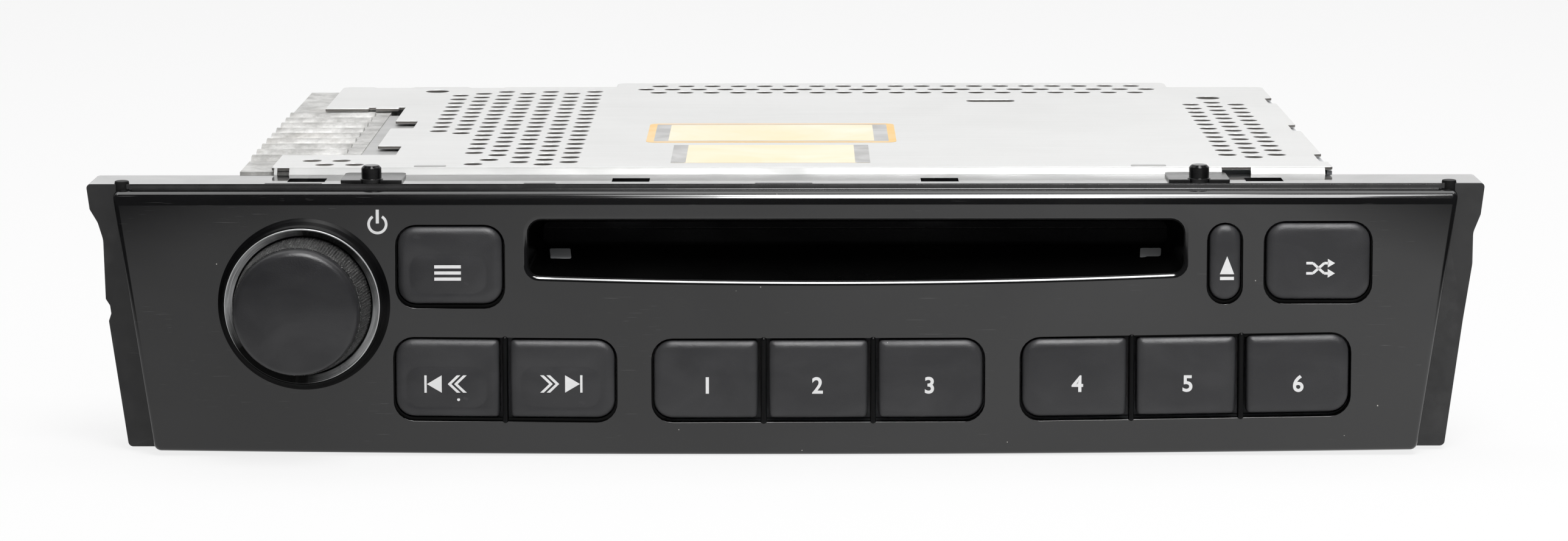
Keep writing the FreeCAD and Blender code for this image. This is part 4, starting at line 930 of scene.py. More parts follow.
@dataclass
class FrontPanel:
    """The glossy leaned panel with its openings, collar and ribs."""

    finishes: Finishes
    top: float = 52.3
    half_at_foot: float = 123.9
    flare: float = 0.148
    bow: float = 0.85
    wall: float = 2.5
    bend: float = 3.0
    bend_steps: int = 8
    edge: float = 1.0
    rim: float = 0.08
    rim_slack: float = 1.08
    knob_hole: float = 15.4
    key_gap: float = 0.35
    margins: tuple[float, float, float] = (0.55, 0.97, 0.35)
    slot_half: float = 64.1
    slot_foot: float = 34.41
    slot_top: float = 46.3
    slot_smile: float = 1.3
    smile_x: float = 8.0
    throat_half: float = 61.8
    throat: Point = (40.2, 44.8)
    throat_depth: float = 12.4
    funnel_wall: float = 1.2
    skirt_depths: Point = (1.7, 6.2)
    skirt_wall: float = 2.2
    skirt_top: float = 49.0
    openings: tuple[tuple[float, float, float, float, float], ...] = (
        (*MODE_KEY, 3.5), (*MIX_KEY, 3.5), (*EJECT_KEY, 2.94), (-76.3, -33.5, *LOWER_ROW, 3.5),
        (-25.7, 38.6, *LOWER_ROW, 3.5), (46.5, 110.3, *LOWER_ROW, 3.5))
    rib_gap: float = 0.55
    rib_gaps: tuple[Point, ...] = ((-56.0, -53.9), (-5.4, -3.1), (16.1, 18.3), (66.8, 68.9), (88.2, 90.4))
    rib_heights: Point = (6.2, 23.3)
    rib_front: float = -0.6
    felt_half: float = 63.5
    felt_depths: Point = (-58.8, -57.3)

    def outline(self, inset: float) -> list[Point]:
        """Returns the panel's outline, drawn in by an inset, with its bowed foot."""
        slant = math.hypot(1.0, self.flare)
        foot = self.bow + inset

        def half(height: float) -> float:
            return self.half_at_foot + self.flare * height - inset * slant

        low, high = half(foot), half(self.top - inset)
        radius = max(1.5 - inset, 0.4)
        corners: list[Corner] = [(-low, foot, radius)]
        corners += bowed(-low, low, foot, inset)
        corners += [(low, foot, radius), (high, self.top - inset, radius), (-high, self.top - inset, radius)]
        return rounded(corners)

    def mouth(self, grow: float = 0.0) -> list[Point]:
        """Returns the outline of the slot's mouth."""
        x0, x1 = DISC_X - self.slot_half - grow, DISC_X + self.slot_half + grow
        top = self.slot_top + grow
        corners: list[Corner] = []
        for i in range(BOW_STEPS + 1):
            x = x0 + (x1 - x0) * i / BOW_STEPS
            foot = self.slot_foot - grow + self.slot_smile * ((x - self.smile_x) / self.slot_half) ** 2
            corners.append((x, foot, 2.2 if i in (0, BOW_STEPS) else 0.0))
        return rounded([*corners, (x1, top, 2.6), (x0, top, 2.6)])

    def gap(self, grow: float = 0.0) -> list[Point]:
        """Returns the outline of the narrow gap behind the slot, with as many points as the mouth."""
        x0, x1 = DISC_X - self.throat_half - grow, DISC_X + self.throat_half + grow
        foot, top = self.throat[0] - grow, self.throat[1] + grow
        corners: list[Corner] = [(x0, foot, 1.4)]
        corners += bowed(x0, x1, foot, foot)
        corners += [(x1, foot, 1.4), (x1, top, 1.4), (x0, top, 1.4)]
        return rounded(corners)

    def face(self) -> Piece:
        """Makes the pierced face with its rounded top edge."""
        loops = [self.outline(0.0), self.mouth(), circle(*KNOB, self.knob_hole, 96)]
        loops += [lifted(rectangle(*hole)) for hole in self.holes()]
        face = flat_form("panel_face", loops, 0.0, self.wall, Plane.PANEL, self.edge, 5)
        start = self.top - self.bend
        with editing(face):
            for i in range(self.bend_steps):
                height = start + self.bend * math.sin(math.pi / 2 * i / self.bend_steps)
                bpy.ops.mesh.select_all(action="SELECT")
                bpy.ops.mesh.bisect(plane_co=(0, 0, height), plane_no=(0, 0, 1))
            bpy.ops.mesh.select_all(action="DESELECT")
        for vertex in face.data.vertices:
            rise = min(max(vertex.co.z - start, 0.0), self.bend)
            vertex.co.y += self.bend - math.sqrt(self.bend * self.bend - rise * rise)
        self.tighten(face)
        return weigh(face, "MEDIUM", lambda polygon: polygon.center.z > start)

    def holes(self) -> list[tuple[float, float, float, float, float]]:
        """Returns the edges and corner radius of each key opening, which is deepest below its keys."""
        side, under, over = self.margins
        return [(x0 - side, x1 + side, z0 - under, z1 + over, radius + side)
                for x0, x1, z0, z1, radius in self.openings]

    def liners(self) -> Piece:
        """Makes the inner walls that close the openings round the keys; their near-black finish, darker than
        the panel, is painted shade of the gaps.
        """
        parts = []
        for i, (opening, hole) in enumerate(zip(self.openings, self.holes())):
            x0, x1, z0, z1, radius = opening
            gap = self.key_gap
            inner = rectangle(x0 - gap, x1 + gap, z0 - gap, z1 + gap, radius + gap)
            loops = [lifted(rectangle(*hole)), lifted(inner)]
            parts.append(flat_form(f"liner_{i}", loops, 0.9, self.wall - 0.1, Plane.PANEL))
        return join("key_opening_liners", parts)

    def tighten(self, face: Piece) -> None:
        """Draws in the rims of the key openings, which are rounded less than the panel's other edges."""
        for vertex in face.data.vertices:
            x, y, z = vertex.co
            if y >= self.edge:
                continue
            low = z - lift(x, z)
            for x0, x1, z0, z1, corner in self.holes():
                dx = abs(x - (x0 + x1) / 2) - (x1 - x0) / 2 + corner
                dz = abs(low - (z0 + z1) / 2) - (z1 - z0) / 2 + corner
                beyond = Vector((max(dx, 0.0), max(dz, 0.0)))
                away = beyond.length - corner
                if 0.0 < away < self.edge * self.rim_slack:
                    way = beyond.normalized() * away * (1.0 - self.rim)
                    vertex.co.x -= math.copysign(way.x, x - (x0 + x1) / 2)
                    vertex.co.z -= math.copysign(way.y, low - (z0 + z1) / 2)
                    vertex.co.y *= self.rim

    def skirt(self) -> Piece:
        """Makes the shell's side and foot walls."""
        loops = [self.outline(0.02), self.outline(self.skirt_wall)]
        skirt = flat_form("panel_skirt", loops, *self.skirt_depths, Plane.PANEL)
        with editing(skirt):
            bpy.ops.mesh.bisect(plane_co=(0, 0, self.skirt_top), plane_no=(0, 0, 1), use_fill=True,
                                clear_outer=True)
        return skirt

    def funnel(self) -> Piece:
        """Makes the funnel from the slot's mouth to the gap."""
        rings = [(0.6, self.mouth()), (self.throat_depth, self.gap()),
                 (self.throat_depth, self.gap(self.funnel_wall)), (0.6, self.mouth(self.funnel_wall))]
        count = len(rings[0][1])

        def shape(u: float, v: float) -> tuple[float, float, float]:
            depth, points = rings[round(u * 4) % 4]
            x, z = points[round(v * count) % count]
            return (x, depth, z)

        return grid_form("slot_funnel", 4, count, shape)

    def ribs(self) -> Piece:
        """Makes the rounded bars between the keys of one group."""
        pieces = []
        for i, (left, right) in enumerate(self.rib_gaps):
            x0, x1 = left + self.rib_gap, right - self.rib_gap
            half = (x1 - x0) / 2
            loop = lifted(rectangle(x0, x1, *self.rib_heights, half - 0.01, 8))
            rib = flat_form(f"rib_{i}", [loop], self.rib_front, self.wall, Plane.PANEL, half - 0.03, 8)
            pieces.append(rib)
        return join("key_ribs", pieces)

    def collar(self) -> Piece:
        """Makes the raised collar moulded round the knob's hole."""
        profile = rounded([(15.22, 1.6, 0), (15.22, -3.4, 0.1), (15.45, -3.5, 0.15), (15.8, -2.9, 0.5),
                           (16.3, -0.9, 1.5), (16.85, -0.1, 0.3), (16.95, 0.3, 0.0), (16.95, 1.6, 0)], 6)
        return lathe("knob_collar", profile, KNOB)

    def build(self) -> None:
        """Builds the panel, its linings and its small pads."""
        panel = place(join("front_panel_moulding", [self.face(), self.skirt()]), TO_PANEL)
        for vertex in panel.data.vertices:
            vertex.co.z = max(vertex.co.z, 0.0)
        smooth(panel, 34.0)
        attach(panel, self.finishes["panel gloss black"], "root", "gloss_black", "front_panel")
        # Painted shade: the collar and ribs take a darker copy of the panel's black, and the funnel and
        # liners a darker one still.
        for piece, finish in ((self.collar(), "collar black painted shade"), (self.ribs(), "collar black painted shade"),
                              (self.funnel(), "slot black painted shade"), (self.liners(), "slot black painted shade")):
            attach(smooth(place(piece, TO_PANEL)), self.finishes[finish], "root", "gloss_black")
        self.felts()
        self.pads()

    def felts(self) -> None:
        """Makes the two soft felt flaps, which meet in the slot."""
        parts = []
        for name, low, high in (("lower", 37.4, 42.45), ("upper", 42.6, 48.0)):
            loop = rectangle(DISC_X - self.felt_half, DISC_X + self.felt_half, low, high, 0.3, 3)
            parts.append(flat_form(f"{name}_felt", [loop], *self.felt_depths, Plane.PANEL, 0.25, 3))
        felts = place(join("slot_felt_flaps", parts), TO_METRES)
        attach(smooth(felts), self.finishes["felt black"], "root", "felt_black", "slot_felts")

    def pads(self) -> None:
        """Lays the two pale pads on the slot's lower wall, painted light that stands for the lit floor seen
        through two holes there.
        """
        slope = (self.throat[0] - self.slot_foot - 0.3) / self.throat_depth
        for side, x0, x1, skew in (("left", -46.3, -42.2, 0.35), ("right", 69.9, 74.0, -0.35)):
            corners = [(x0, 7.2, 0.3), (x1, 7.2, 0.3), (x1 - skew, 10.6, 0.3), (x0 - skew, 10.6, 0.3)]
            loop = rounded(corners, 3)
            pad = flat_form(f"{side}_slot_pad", [loop], 0.0, 0.25, Plane.PLAN, 0.05, 2)
            for vertex in pad.data.vertices:
                vertex.co.z += self.slot_foot + 0.36 + slope * vertex.co.y
            attach(smooth(place(pad, TO_PANEL)), self.finishes["slot pad painted light"], "root", "felt_black")


@dataclass
class Keys:
    """The eleven crowned keys."""

    finishes: Finishes
    proud: float = 1.2
    crown: float = 60.0
    fall: float = 0.16
    edge: float = 1.7
    edge_steps: int = 7
    drop: float = 1.05
    wall: float = 1.3
    foot: float = 3.4
    pad_corner: float = 2.7
    crease: float = 0.5
    crease_reach: Point = (2.2, 1.4)
    points: int = 128
    shapes: list[KeyShape] = field(default_factory=list)

    def __post_init__(self) -> None:
        """Lists the keys with their edges and corners."""
        big = (3.5,) * 4
        left, middle, right = (3.5, 0.8, 0.8, 3.5), (0.8,) * 4, (0.8, 3.5, 3.5, 0.8)
        self.shapes = [
            KeyShape("mode_button", MODE_KEY, big, (-73.48, -58.46, 31.96, 39.65)),
            KeyShape("mix_button", MIX_KEY, big),
            KeyShape("eject_button", EJECT_KEY, (2.9,) * 4),
            KeyShape("previous_button", (-76.3, -56.1, *LOWER_ROW), left, (-74.31, -58.56, 9.3, 17.26)),
            KeyShape("next_button", (-53.9, -33.5, *LOWER_ROW), right, (-51.89, -36.27, 9.46, 17.42)),
            KeyShape("preset_button_1", (-25.7, -5.4, *LOWER_ROW), left),
            KeyShape("preset_button_2", (-3.2, 16.1, *LOWER_ROW), middle),
            KeyShape("preset_button_3", (18.3, 38.6, *LOWER_ROW), right),
            KeyShape("preset_button_4", (46.5, 66.8, *LOWER_ROW), left),
            KeyShape("preset_button_5", (68.9, 88.2, *LOWER_ROW), middle),
            KeyShape("preset_button_6", (90.4, 110.3, *LOWER_ROW), right)]

    def surface(self, key: KeyShape, x: float, z: float) -> float:
        """Returns the depth of a key's face at a point.

        Args:
            key: The key.
            x: The point across the panel.
            z: The point up the panel.

        Returns:
            The depth, which is negative in front of the panel.
        """
        x0, x1, z0, z1 = key.edges
        middle = (z0 + z1) / 2
        depth = -self.proud + self.crown - math.sqrt(self.crown ** 2 - (z - middle) ** 2)
        depth += self.fall * ((x - (x0 + x1) / 2) / ((x1 - x0) / 2)) ** 4
        if key.pad is not None:
            a0, a1, b0, b1 = key.pad
            dx = abs(x - (a0 + a1) / 2) - (a1 - a0) / 2 + self.pad_corner
            dz = abs(z - (b0 + b1) / 2) - (b1 - b0) / 2 + self.pad_corner
            away = math.hypot(max(dx, 0.0), max(dz, 0.0)) + min(max(dx, dz), 0.0) - self.pad_corner
            depth += self.crease * math.exp(-abs(away) / self.crease_reach[away > 0])
        return depth

    def outline(self, key: KeyShape, inset: float) -> list[Point]:
        """Returns a key's outline, drawn in by an inset."""
        x0, x1, z0, z1 = key.edges
        radii = [max(r - inset, 0.15) for r in key.radii]
        corners = [(x0 + inset, z0 + inset, radii[0]), (x1 - inset, z0 + inset, radii[1]),
                   (x1 - inset, z1 - inset, radii[2]), (x0 + inset, z1 - inset, radii[3])]
        return self.resampled(rounded(corners, 8))

    def resampled(self, points: list[Point]) -> list[Point]:
        """Spreads a fixed number of points evenly round an outline."""
        closed = points + points[:1]
        lengths = [math.dist(a, b) for a, b in zip(closed, closed[1:])]
        total = sum(lengths)
        result: list[Point] = []
        index, passed = 0, 0.0
        for i in range(self.points):
            target = total * i / self.points
            while index < len(lengths) - 1 and passed + lengths[index] < target:
                passed += lengths[index]
                index += 1
            share = (target - passed) / lengths[index] if lengths[index] > 0 else 0.0
            a, b = closed[index], closed[index + 1]
            result.append((a[0] + (b[0] - a[0]) * share, a[1] + (b[1] - a[1]) * share))
        return result

    def cap(self, key: KeyShape) -> Piece:
        """Makes one key with its walls, rounded edge and crowned face."""
        x0, x1, z0, z1 = key.edges
        centre = ((x0 + x1) / 2, (z0 + z1) / 2)
        edge = min(self.edge, 0.42 * (x1 - x0))
        rings: list[tuple[list[Point], float | None, float]] = [
            (self.outline(key, self.wall), self.foot, 0.0), (self.outline(key, 0.0), self.foot, 0.0)]
        for i in range(self.edge_steps + 1):
            angle = math.pi / 2 * i / self.edge_steps
            inset = edge * (1 - math.cos(angle))
            rings.append((self.outline(key, inset), None, self.drop * (1 - math.sin(angle))))
        inner = rings[-1][0]
        fine = 34 if key.pad is not None else 10
        for i in range(1, fine + 1):
            share = 1.0 - i / fine
            ring = [(centre[0] + (x - centre[0]) * share, centre[1] + (z - centre[1]) * share)
                    for x, z in inner]
            rings.append((ring, None, 0.0))
        last = len(rings) - 1

        def shape(u: float, v: float) -> tuple[float, float, float]:
            points, depth, drop = rings[round(u * last)]
            x, z = points[round(v * self.points) % self.points]
            if depth is None:
                depth = self.surface(key, x, z) + drop
            return (x, depth, z + lift(x, z))

        return capped(grid_form(key.node + "_cap", last, self.points, shape))

    def build(self) -> None:
        """Builds every key."""
        for key in self.shapes:
            piece = smooth(place(self.cap(key), TO_PANEL), 60.0)
            attach(piece, self.finishes["key soft black"], key.node, "key_black", key.node)


@dataclass
class Marks:
    """The white symbols and digits on the keys and the panel."""

    finishes: Finishes
    keys: Keys
    thick: float = 0.04
    sunk: float = 0.25
    stroke: float = 0.62
    digit_size: float = 4.5
    digit_weight: float = 0.09
    power_place: Point = (-79.66, 45.6)
    mode_place: Point = (-65.95, 36.13)
    mix_place: Point = (104.4, 36.94)
    dot_place: Point = (-64.05, 11.15)
    skip_heights: Point = (12.55, 15.96)
    digit_places: tuple[Point, ...] = ((-15.28, 13.96), (6.29, 13.96), (28.22, 13.96),
                                       (57.18, 14.26), (78.74, 14.26), (100.42, 14.26))

    def print_on(self, name: str, body: str, loops: Sequence[Sequence[Point]], depth: float) -> None:
        """Lays a symbol on a surface.

        Args:
            name: The symbol's name.
            body: The CAD body that carries it.
            loops: Its outlines.
            depth: The depth of the surface.
        """
        pieces = [flat_form(name, [loop], depth - self.thick, depth + self.sunk, Plane.PANEL)
                  for loop in loops]
        piece = place(join(name, pieces), TO_PANEL)
        slot = "gloss_black" if body == "root" else "key_black"
        attach(piece, self.finishes["mark white"], body, slot)

    def key_depth(self, node: str, x: float, z: float) -> float:
        """Returns the depth of a key's face where a mark is printed."""
        shape = next(key for key in self.keys.shapes if key.node == node)
        return self.keys.surface(shape, x, z - lift(x, z))

    def digit(self, text: str, node: str, x: float, z: float) -> None:
        """Prints a plain digit on a key.

        Args:
            text: The digit.
            node: The key's node.
            x: The middle of the digit across the panel.
            z: Its middle up the panel.
        """
        deselect()
        bpy.ops.object.text_add()
        piece = bpy.context.object
        half = (self.thick + self.sunk) / 2
        piece.data.body = text
        piece.data.size = self.digit_size
        piece.data.offset = self.digit_weight
        piece.data.extrude = half
        piece.data.resolution_u = 6
        choose(piece)
        bpy.ops.object.convert(target="MESH")
        piece = bpy.context.object
        spots = [vertex.co for vertex in piece.data.vertices]
        low = Vector([min(c[i] for c in spots) for i in range(3)])
        high = Vector([max(c[i] for c in spots) for i in range(3)])
        centre = (low + high) / 2
        depth = self.key_depth(node, x, z) - self.thick
        turn = Matrix(((1, 0, 0, x - centre.x), (0, 0, -1, depth + half),
                       (0, 1, 0, z - centre.y), (0, 0, 0, 1)))
        piece.name = "digit_" + text
        place(piece, turn)
        close_up(piece)
        attach(place(piece, TO_PANEL), self.finishes["mark white"], node, "key_black")

    @staticmethod
    def bar(start: Point, end: Point, width: float) -> list[Point]:
        """Returns a straight stroke."""
        a, b = Vector(start), Vector(end)
        side = (b - a).normalized().orthogonal() * width / 2
        return [tuple(a + side), tuple(b + side), tuple(b - side), tuple(a - side)]

    @staticmethod
    def chevron(x: float, z: float, size: float, width: float, way: float) -> list[Point]:
        """Returns one chevron that points left for way -1 and right for way 1."""
        half = size / 2
        tip, back = x + way * size * 0.26, x - way * size * 0.26
        return [(back, z + half), (back + way * width, z + half), (tip + way * width, z),
                (back + way * width, z - half), (back, z - half), (tip, z)]

    def skip(self, node: str, way: float, first: float, last: float, low: float, high: float) -> None:
        """Prints the skip and seek symbols: a bar with a triangle, and two chevrons.

        Args:
            node: The key's node.
            way: -1 where the symbols point left, 1 where they point right.
            first: The symbols' left end.
            last: Their right end.
            low: Their foot.
            high: Their top.
        """
        middle = (low + high) / 2
        outer, inner = (first, last) if way < 0 else (last, first)
        loops = [[(outer, low), (outer - way * 0.45, low), (outer - way * 0.45, high), (outer, high)]]
        tip = outer - way * 0.5
        base = tip - way * 2.9
        loops.append([(tip, middle), (base, high), (base, low)])
        for i in range(2):
            loops.append(self.chevron(inner + way * (1.05 + 1.25 * i), middle, high - low, 0.7, way))
        centre = (first + last) / 2
        self.print_on(node + "_symbol", node, loops, self.key_depth(node, centre, middle))

    def power(self) -> None:
        """Prints the on and off symbol on the panel."""
        (x, z), radius, width = self.power_place, 1.72, 0.52
        gap = math.radians(32)
        count = 28
        angles = [math.pi / 2 + gap + (2 * math.pi - 2 * gap) * i / count for i in range(count + 1)]
        ring = [(x + (radius + width / 2) * math.cos(a), z + (radius + width / 2) * math.sin(a))
                for a in angles]
        ring += [(x + (radius - width / 2) * math.cos(a), z + (radius - width / 2) * math.sin(a))
                 for a in reversed(angles)]
        self.print_on("power_symbol", "root", [ring, self.bar((x, z + 0.15), (x, z + 2.85), 0.6)], 0.0)

    def build(self) -> None:
        """Prints every mark."""
        self.power()
        x, z = self.mode_place
        bars = [self.bar((x - 2.6, z + rise), (x + 2.6, z + rise), self.stroke) for rise in (1.2, 0.0, -1.2)]
        self.print_on("mode_symbol", "mode_button", bars, self.key_depth("mode_button", x, z))
        x, z = self.mix_place
        loops = []
        for way in (1.0, -1.0):
            path = [(x - 2.7, z - way), (x - 1.4, z - way), (x + 0.8, z + way), (x + 1.7, z + way)]
            for a, b in zip(path, path[1:]):
                loops.append(self.bar(a, b, 0.5))
            loops.append([(x + 1.5, z + way + 0.85), (x + 2.9, z + way), (x + 1.5, z + way - 0.85)])
        self.print_on("mix_symbol", "mix_button", loops, self.key_depth("mix_button", x, z))
        eject = [[(84.85, 35.78), (87.65, 35.78), (86.25, 39.3)],
                 self.bar((84.9, 34.95), (87.6, 34.95), self.stroke)]
        self.print_on("eject_symbol", "eject_button", eject, self.key_depth("eject_button", 86.2, 37.0))
        self.skip("previous_button", -1.0, -70.72, -62.25, *self.skip_heights)
        self.skip("next_button", 1.0, -48.19, -39.74, *self.skip_heights)
        dot = circle(*self.dot_place, 0.3, 12)
        self.print_on("guide_dot", "previous_button", [dot],
                      self.key_depth("previous_button", *self.dot_place))
        for i, (x, z) in enumerate(self.digit_places, start=1):
            self.digit(str(i), f"preset_button_{i}", x, z)


@dataclass
class VolumeKnob:
    """The bright ring, the knurled skirt and the domed cap."""

    finishes: Finishes
    ridges: int = 150
    ridge: float = 0.07
    knurled: Point = (-12.0, -1.4)
    skirt_steps: tuple[float, ...] = (-12.6, -12.1, -11.9, -9.5, -7.0, -4.5, -2.0, -1.4, -1.2, -0.6)
    skirt_radii: Point = (12.4, 13.5)
    front: float = -89.99
    sag: float = 1.1
    reach: float = 10.3
    dome_steps: int = 14

    def knurl(self, depth: float, angle: float) -> float:
        """Returns the height of the knurl's ridges, which stop short of both ends of the skirt."""
        fade = 1.0 if self.knurled[0] < depth < self.knurled[1] else 0.0
        return self.ridge * fade * math.cos(self.ridges * angle)

    def build(self) -> None:
        """Builds the three pieces."""
        ring = lathe("knob_ring_turned", rounded(
            [(13.95, 2.4, 0), (15.18, 2.4, 0), (15.18, -3.78, 0.1), (15.1, -3.92, 0.06), (15.0, -3.9, 0.04),
             (14.96, -3.78, 0.04), (13.72, -2.6, 0.05), (13.72, -2.0, 0.03), (13.95, -1.0, 0)],
            4), KNOB, 160)
        attach(smooth(place(ring, TO_PANEL)), self.finishes["bright ring"], "root", "bright_ring",
               "knob_ring")
        front, (small, large) = self.skirt_steps[0], self.skirt_radii
        outer = [(small + (large - small) * (s - front) / 12.0, s) for s in self.skirt_steps]
        profile = [(0.0, -12.5)] + outer + [(12.3, -0.6), (11.3, -10.4), (0.0, -10.4)]
        skirt = lathe("volume_knob_skirt", profile, KNOB, self.ridges * 4, self.knurl)
        attach(smooth(place(skirt, TO_PANEL), 50), self.finishes["skirt dark grey"], "volume_turn",
               "knurl_grey", "volume_knob")
        attach(smooth(place(self.cap(), TO_PANEL), 50), self.finishes["cap soft black"], "volume_turn",
               "knob_black", "knob_cap")

    def cap(self) -> Piece:
        """Makes the domed cap, whose tip reaches the part's front and whose edge is drawn over the skirt."""
        tip = (self.front - FOOT_Y - KNOB[1] * math.sin(LEAN)) / math.cos(LEAN)
        face = tip + self.sag
        dome = (self.reach ** 2 + self.sag ** 2) / (2 * self.sag)
        radii = [self.reach * i / self.dome_steps for i in range(self.dome_steps + 1)]
        arc = [(radius, tip + dome - math.sqrt(dome ** 2 - radius ** 2)) for radius in radii]
        edge = rounded([(self.reach, face, 0.0), (12.0, face + 0.4, 1.6), (12.3, face + 2.9, 0.0)], 9)
        return lathe("knob_cap_domed", arc + edge[1:] + [(12.2, -12.55), (0.0, -12.55)], KNOB, 128)


# Chassis

@dataclass
class TopCover:
    """The perforated lid with its bent front edge, embossed patches and two blank stickers."""

    finishes: Finishes
    sheet: float = 0.7
    vent_radius: float = 1.9
    pitch: Point = (5.0, 6.75)
    left_counts: tuple[int, ...] = (10, 11, 16, 16, 18, 18, 18)
    shelf: Edges = (-88.0, -76.0, -52.0, 33.5)
    shelf_heights: Point = (52.5, 53.2)
    rear_sticker: Edges = (-29.0, 23.0, -19.7, 10.2)
    front_sticker: Edges = (-23.0, 17.0, -49.9, -23.7)
    sticker_rim: float = 1.6
    sticker_side: float = 3.0
    sticker_line: float = 0.9

    def outline(self) -> list[Point]:
        """Returns the cover's plan with its cut-out, rear step and notches."""
        corners: list[Corner] = [(-102.2, -55.9, 0.6), (108.8, -55.9, 0.6)]
        for y0, y1 in ((-49.0, -37.0), (-2.0, 8.5), (44.0, 54.5)):
            corners += [(108.8, y0, 0.4), (107.2, y0 + 0.6, 0.4), (107.2, y1 - 0.6, 0.4), (108.8, y1, 0.4)]
        corners += [(108.8, 74.2, 2.0), (87.0, 74.2, 1.0), (87.0, 82.5, 2.0), (-38.9, 82.5, 2.0),
                    (-38.9, 75.4, 1.0), (-64.0, 75.4, 0.4), (-65.0, 74.0, 0.4), (-72.0, 74.0, 0.4),
                    (-73.0, 75.6, 0.4), (-85.0, 75.6, 0.4), (-86.0, 74.0, 0.4), (-93.5, 74.0, 0.4),
                    (-94.5, 75.4, 0.4), (-101.5, 75.4, 2.0), (-101.5, 36.5, 0.3), (-92.0, 36.5, 0.2),
                    (-92.0, 39.0, 0.2), (-90.5, 39.0, 0.2), (-90.5, 36.9, 0.2), (-85.4, 36.9, 0.2),
                    (-85.4, 39.4, 0.2), (-84.1, 39.4, 0.2), (-84.1, 15.5, 0.3), (-79.3, 15.5, 0.5),
                    (-79.3, 3.4, 0.5), (-84.1, 3.4, 0.3), (-84.1, -24.2, 0.3), (-79.2, -24.2, 0.5),
                    (-79.2, -37.8, 0.3), (-102.2, -37.8, 0.3)]
        return rounded(corners, 4)

    def vents(self) -> list[list[Point]]:
        """Returns the outlines of all the holes in the cover."""
        dx, dy = self.pitch
        places: list[Point] = []
        for i, count in enumerate(self.left_counts):
            first = 60.0 if i == 0 else (66.75 if i % 2 == 0 else 63.4)
            places += [(-73.5 + dx * i, first - dy * k) for k in range(count)]
        for i, (first, count) in enumerate(((42.7, 13), (46.1, 14), (42.7, 13))):
            places += [(89.6 + dx * i, first - dy * k) for k in range(count)]
        for y, first, count in ((65.0, -29.0, 19), (71.0, -32.0, 20), (77.0, -29.0, 19)):
            places += [(first + 6.0 * k, y) for k in range(count)]
        places += [(-59.7, -44.8), (-62.5, -51.0), (-95.2, -46.0), (-89.3, -46.0), (-92.1, -51.8),
                   (-86.1, -51.8)]
        loops = [circle(x, y, self.vent_radius, 20) for x, y in places]
        loops += [circle(-79.35, 67.6, 2.65, 28), circle(94.5, 54.5, 2.65, 28)]
        loops.append(rounded([(40.2, 47.6, 1.6), (50.9, 47.6, 1.6), (50.9, 51.6, 1.6), (40.2, 51.6, 1.6)]))
        return loops

    def lid(self) -> Piece:
        """Makes the pierced sheet with its burred hole edges."""
        loops = [self.outline(), *self.vents()]
        lid = flat_form("lid", loops, COVER_TOP - self.sheet, COVER_TOP, Plane.PLAN, 0.12, 2)
        return smooth(place(lid, TO_METRES))

    def bend(self) -> Piece:
        """Makes the folded front edge, which is pierced by three windows."""
        profile = rounded([(-55.3, 54.4, 0), (-55.9, 54.36, 0.5), (-57.0, 53.0, 0.5), (-57.0, 48.4, 0.2),
                           (-56.0, 48.4, 0.2), (-56.0, 52.7, 0.3), (-55.5, 53.4, 0)], 4)
        lower = rounded([(-57.0, 49.1, 0), (-57.0, 48.4, 0.2), (-56.0, 48.4, 0.2), (-56.0, 49.1, 0)], 3)
        parts = []
        for i, (x0, x1) in enumerate(((-101.6, -101.0), (-98.6, 86.7), (92.5, 107.2))):
            parts.append(flat_form(f"bend_{i}", [profile], x0, x1, Plane.SIDE))
        parts.append(flat_form("bend_foot", [lower], -101.5, 108.7, Plane.SIDE))
        return smooth(place(join("cover_front_bend", parts), TO_METRES))

    def patches(self) -> None:
        """Embosses the two shallow patches on the front edge."""
        for name, x0, x1 in (("left", -74.0, -67.6), ("right", 68.8, 75.8)):
            loop = rectangle(x0, x1, -55.3, -53.3, 0.6, 4)
            patch = flat_form(f"{name}_embossed_patch", [loop], COVER_TOP - 0.3, COVER_TOP + 0.12,
                              Plane.PLAN, 0.1, 3)
            attach(smooth(place(patch, TO_METRES)), self.finishes["cover bend painted shade"], "root", "cover_steel")

    def layer(self, name: str, finish: str, loops: Sequence[Sequence[Point]], low: float,
              high: float) -> None:
        """Lays one thin layer of a sticker on the cover.

        Args:
            name: The layer's name.
            finish: Its finish.
            loops: Its outlines.
            low: The height of its foot above the cover.
            high: The height of its top above the cover.
        """
        layer = flat_form(name, loops, COVER_TOP + low, COVER_TOP + high, Plane.PLAN)
        attach(place(layer, TO_METRES), self.finishes[finish], "root", "cover_steel")

    def stickers(self) -> None:
        """Lays the two stickers, which are left without words, as printed frames only."""
        rim, side, line = self.sticker_rim, self.sticker_side, self.sticker_line
        x0, x1, y0, y1 = self.rear_sticker
        self.layer("rear_sticker", "sticker orange", [rectangle(x0, x1, y0, y1, 2.0)], -0.02, 0.06)
        x0, x1, y0, y1 = x0 + rim, x1 - rim, y0 + rim, y1 - rim
        inner = rectangle(x0 + side, x1 - side, y0 + line, y1 - line, 0.2)
        border = [rectangle(x0, x1, y0, y1, 0.4), inner]
        self.layer("rear_sticker_border", "sticker grey", border, 0.03, 0.075)
        self.layer("rear_sticker_field", "sticker cream", [inner], 0.03, 0.072)
        x0, x1, y0, y1 = self.front_sticker
        self.layer("front_sticker", "sticker cream", [rectangle(x0, x1, y0, y1, 0.4)], -0.02, 0.06)
        border = [rectangle(x0, x0 + side, y0, y1, 0.3), rectangle(x1 - side, x1, y0, y1, 0.3)]
        self.layer("front_sticker_border", "sticker grey", border, 0.03, 0.075)

    def build(self) -> None:
        """Builds the cover and what lies on it."""
        attach(self.lid(), self.finishes["cover steel"], "root", "cover_steel", "top_cover")
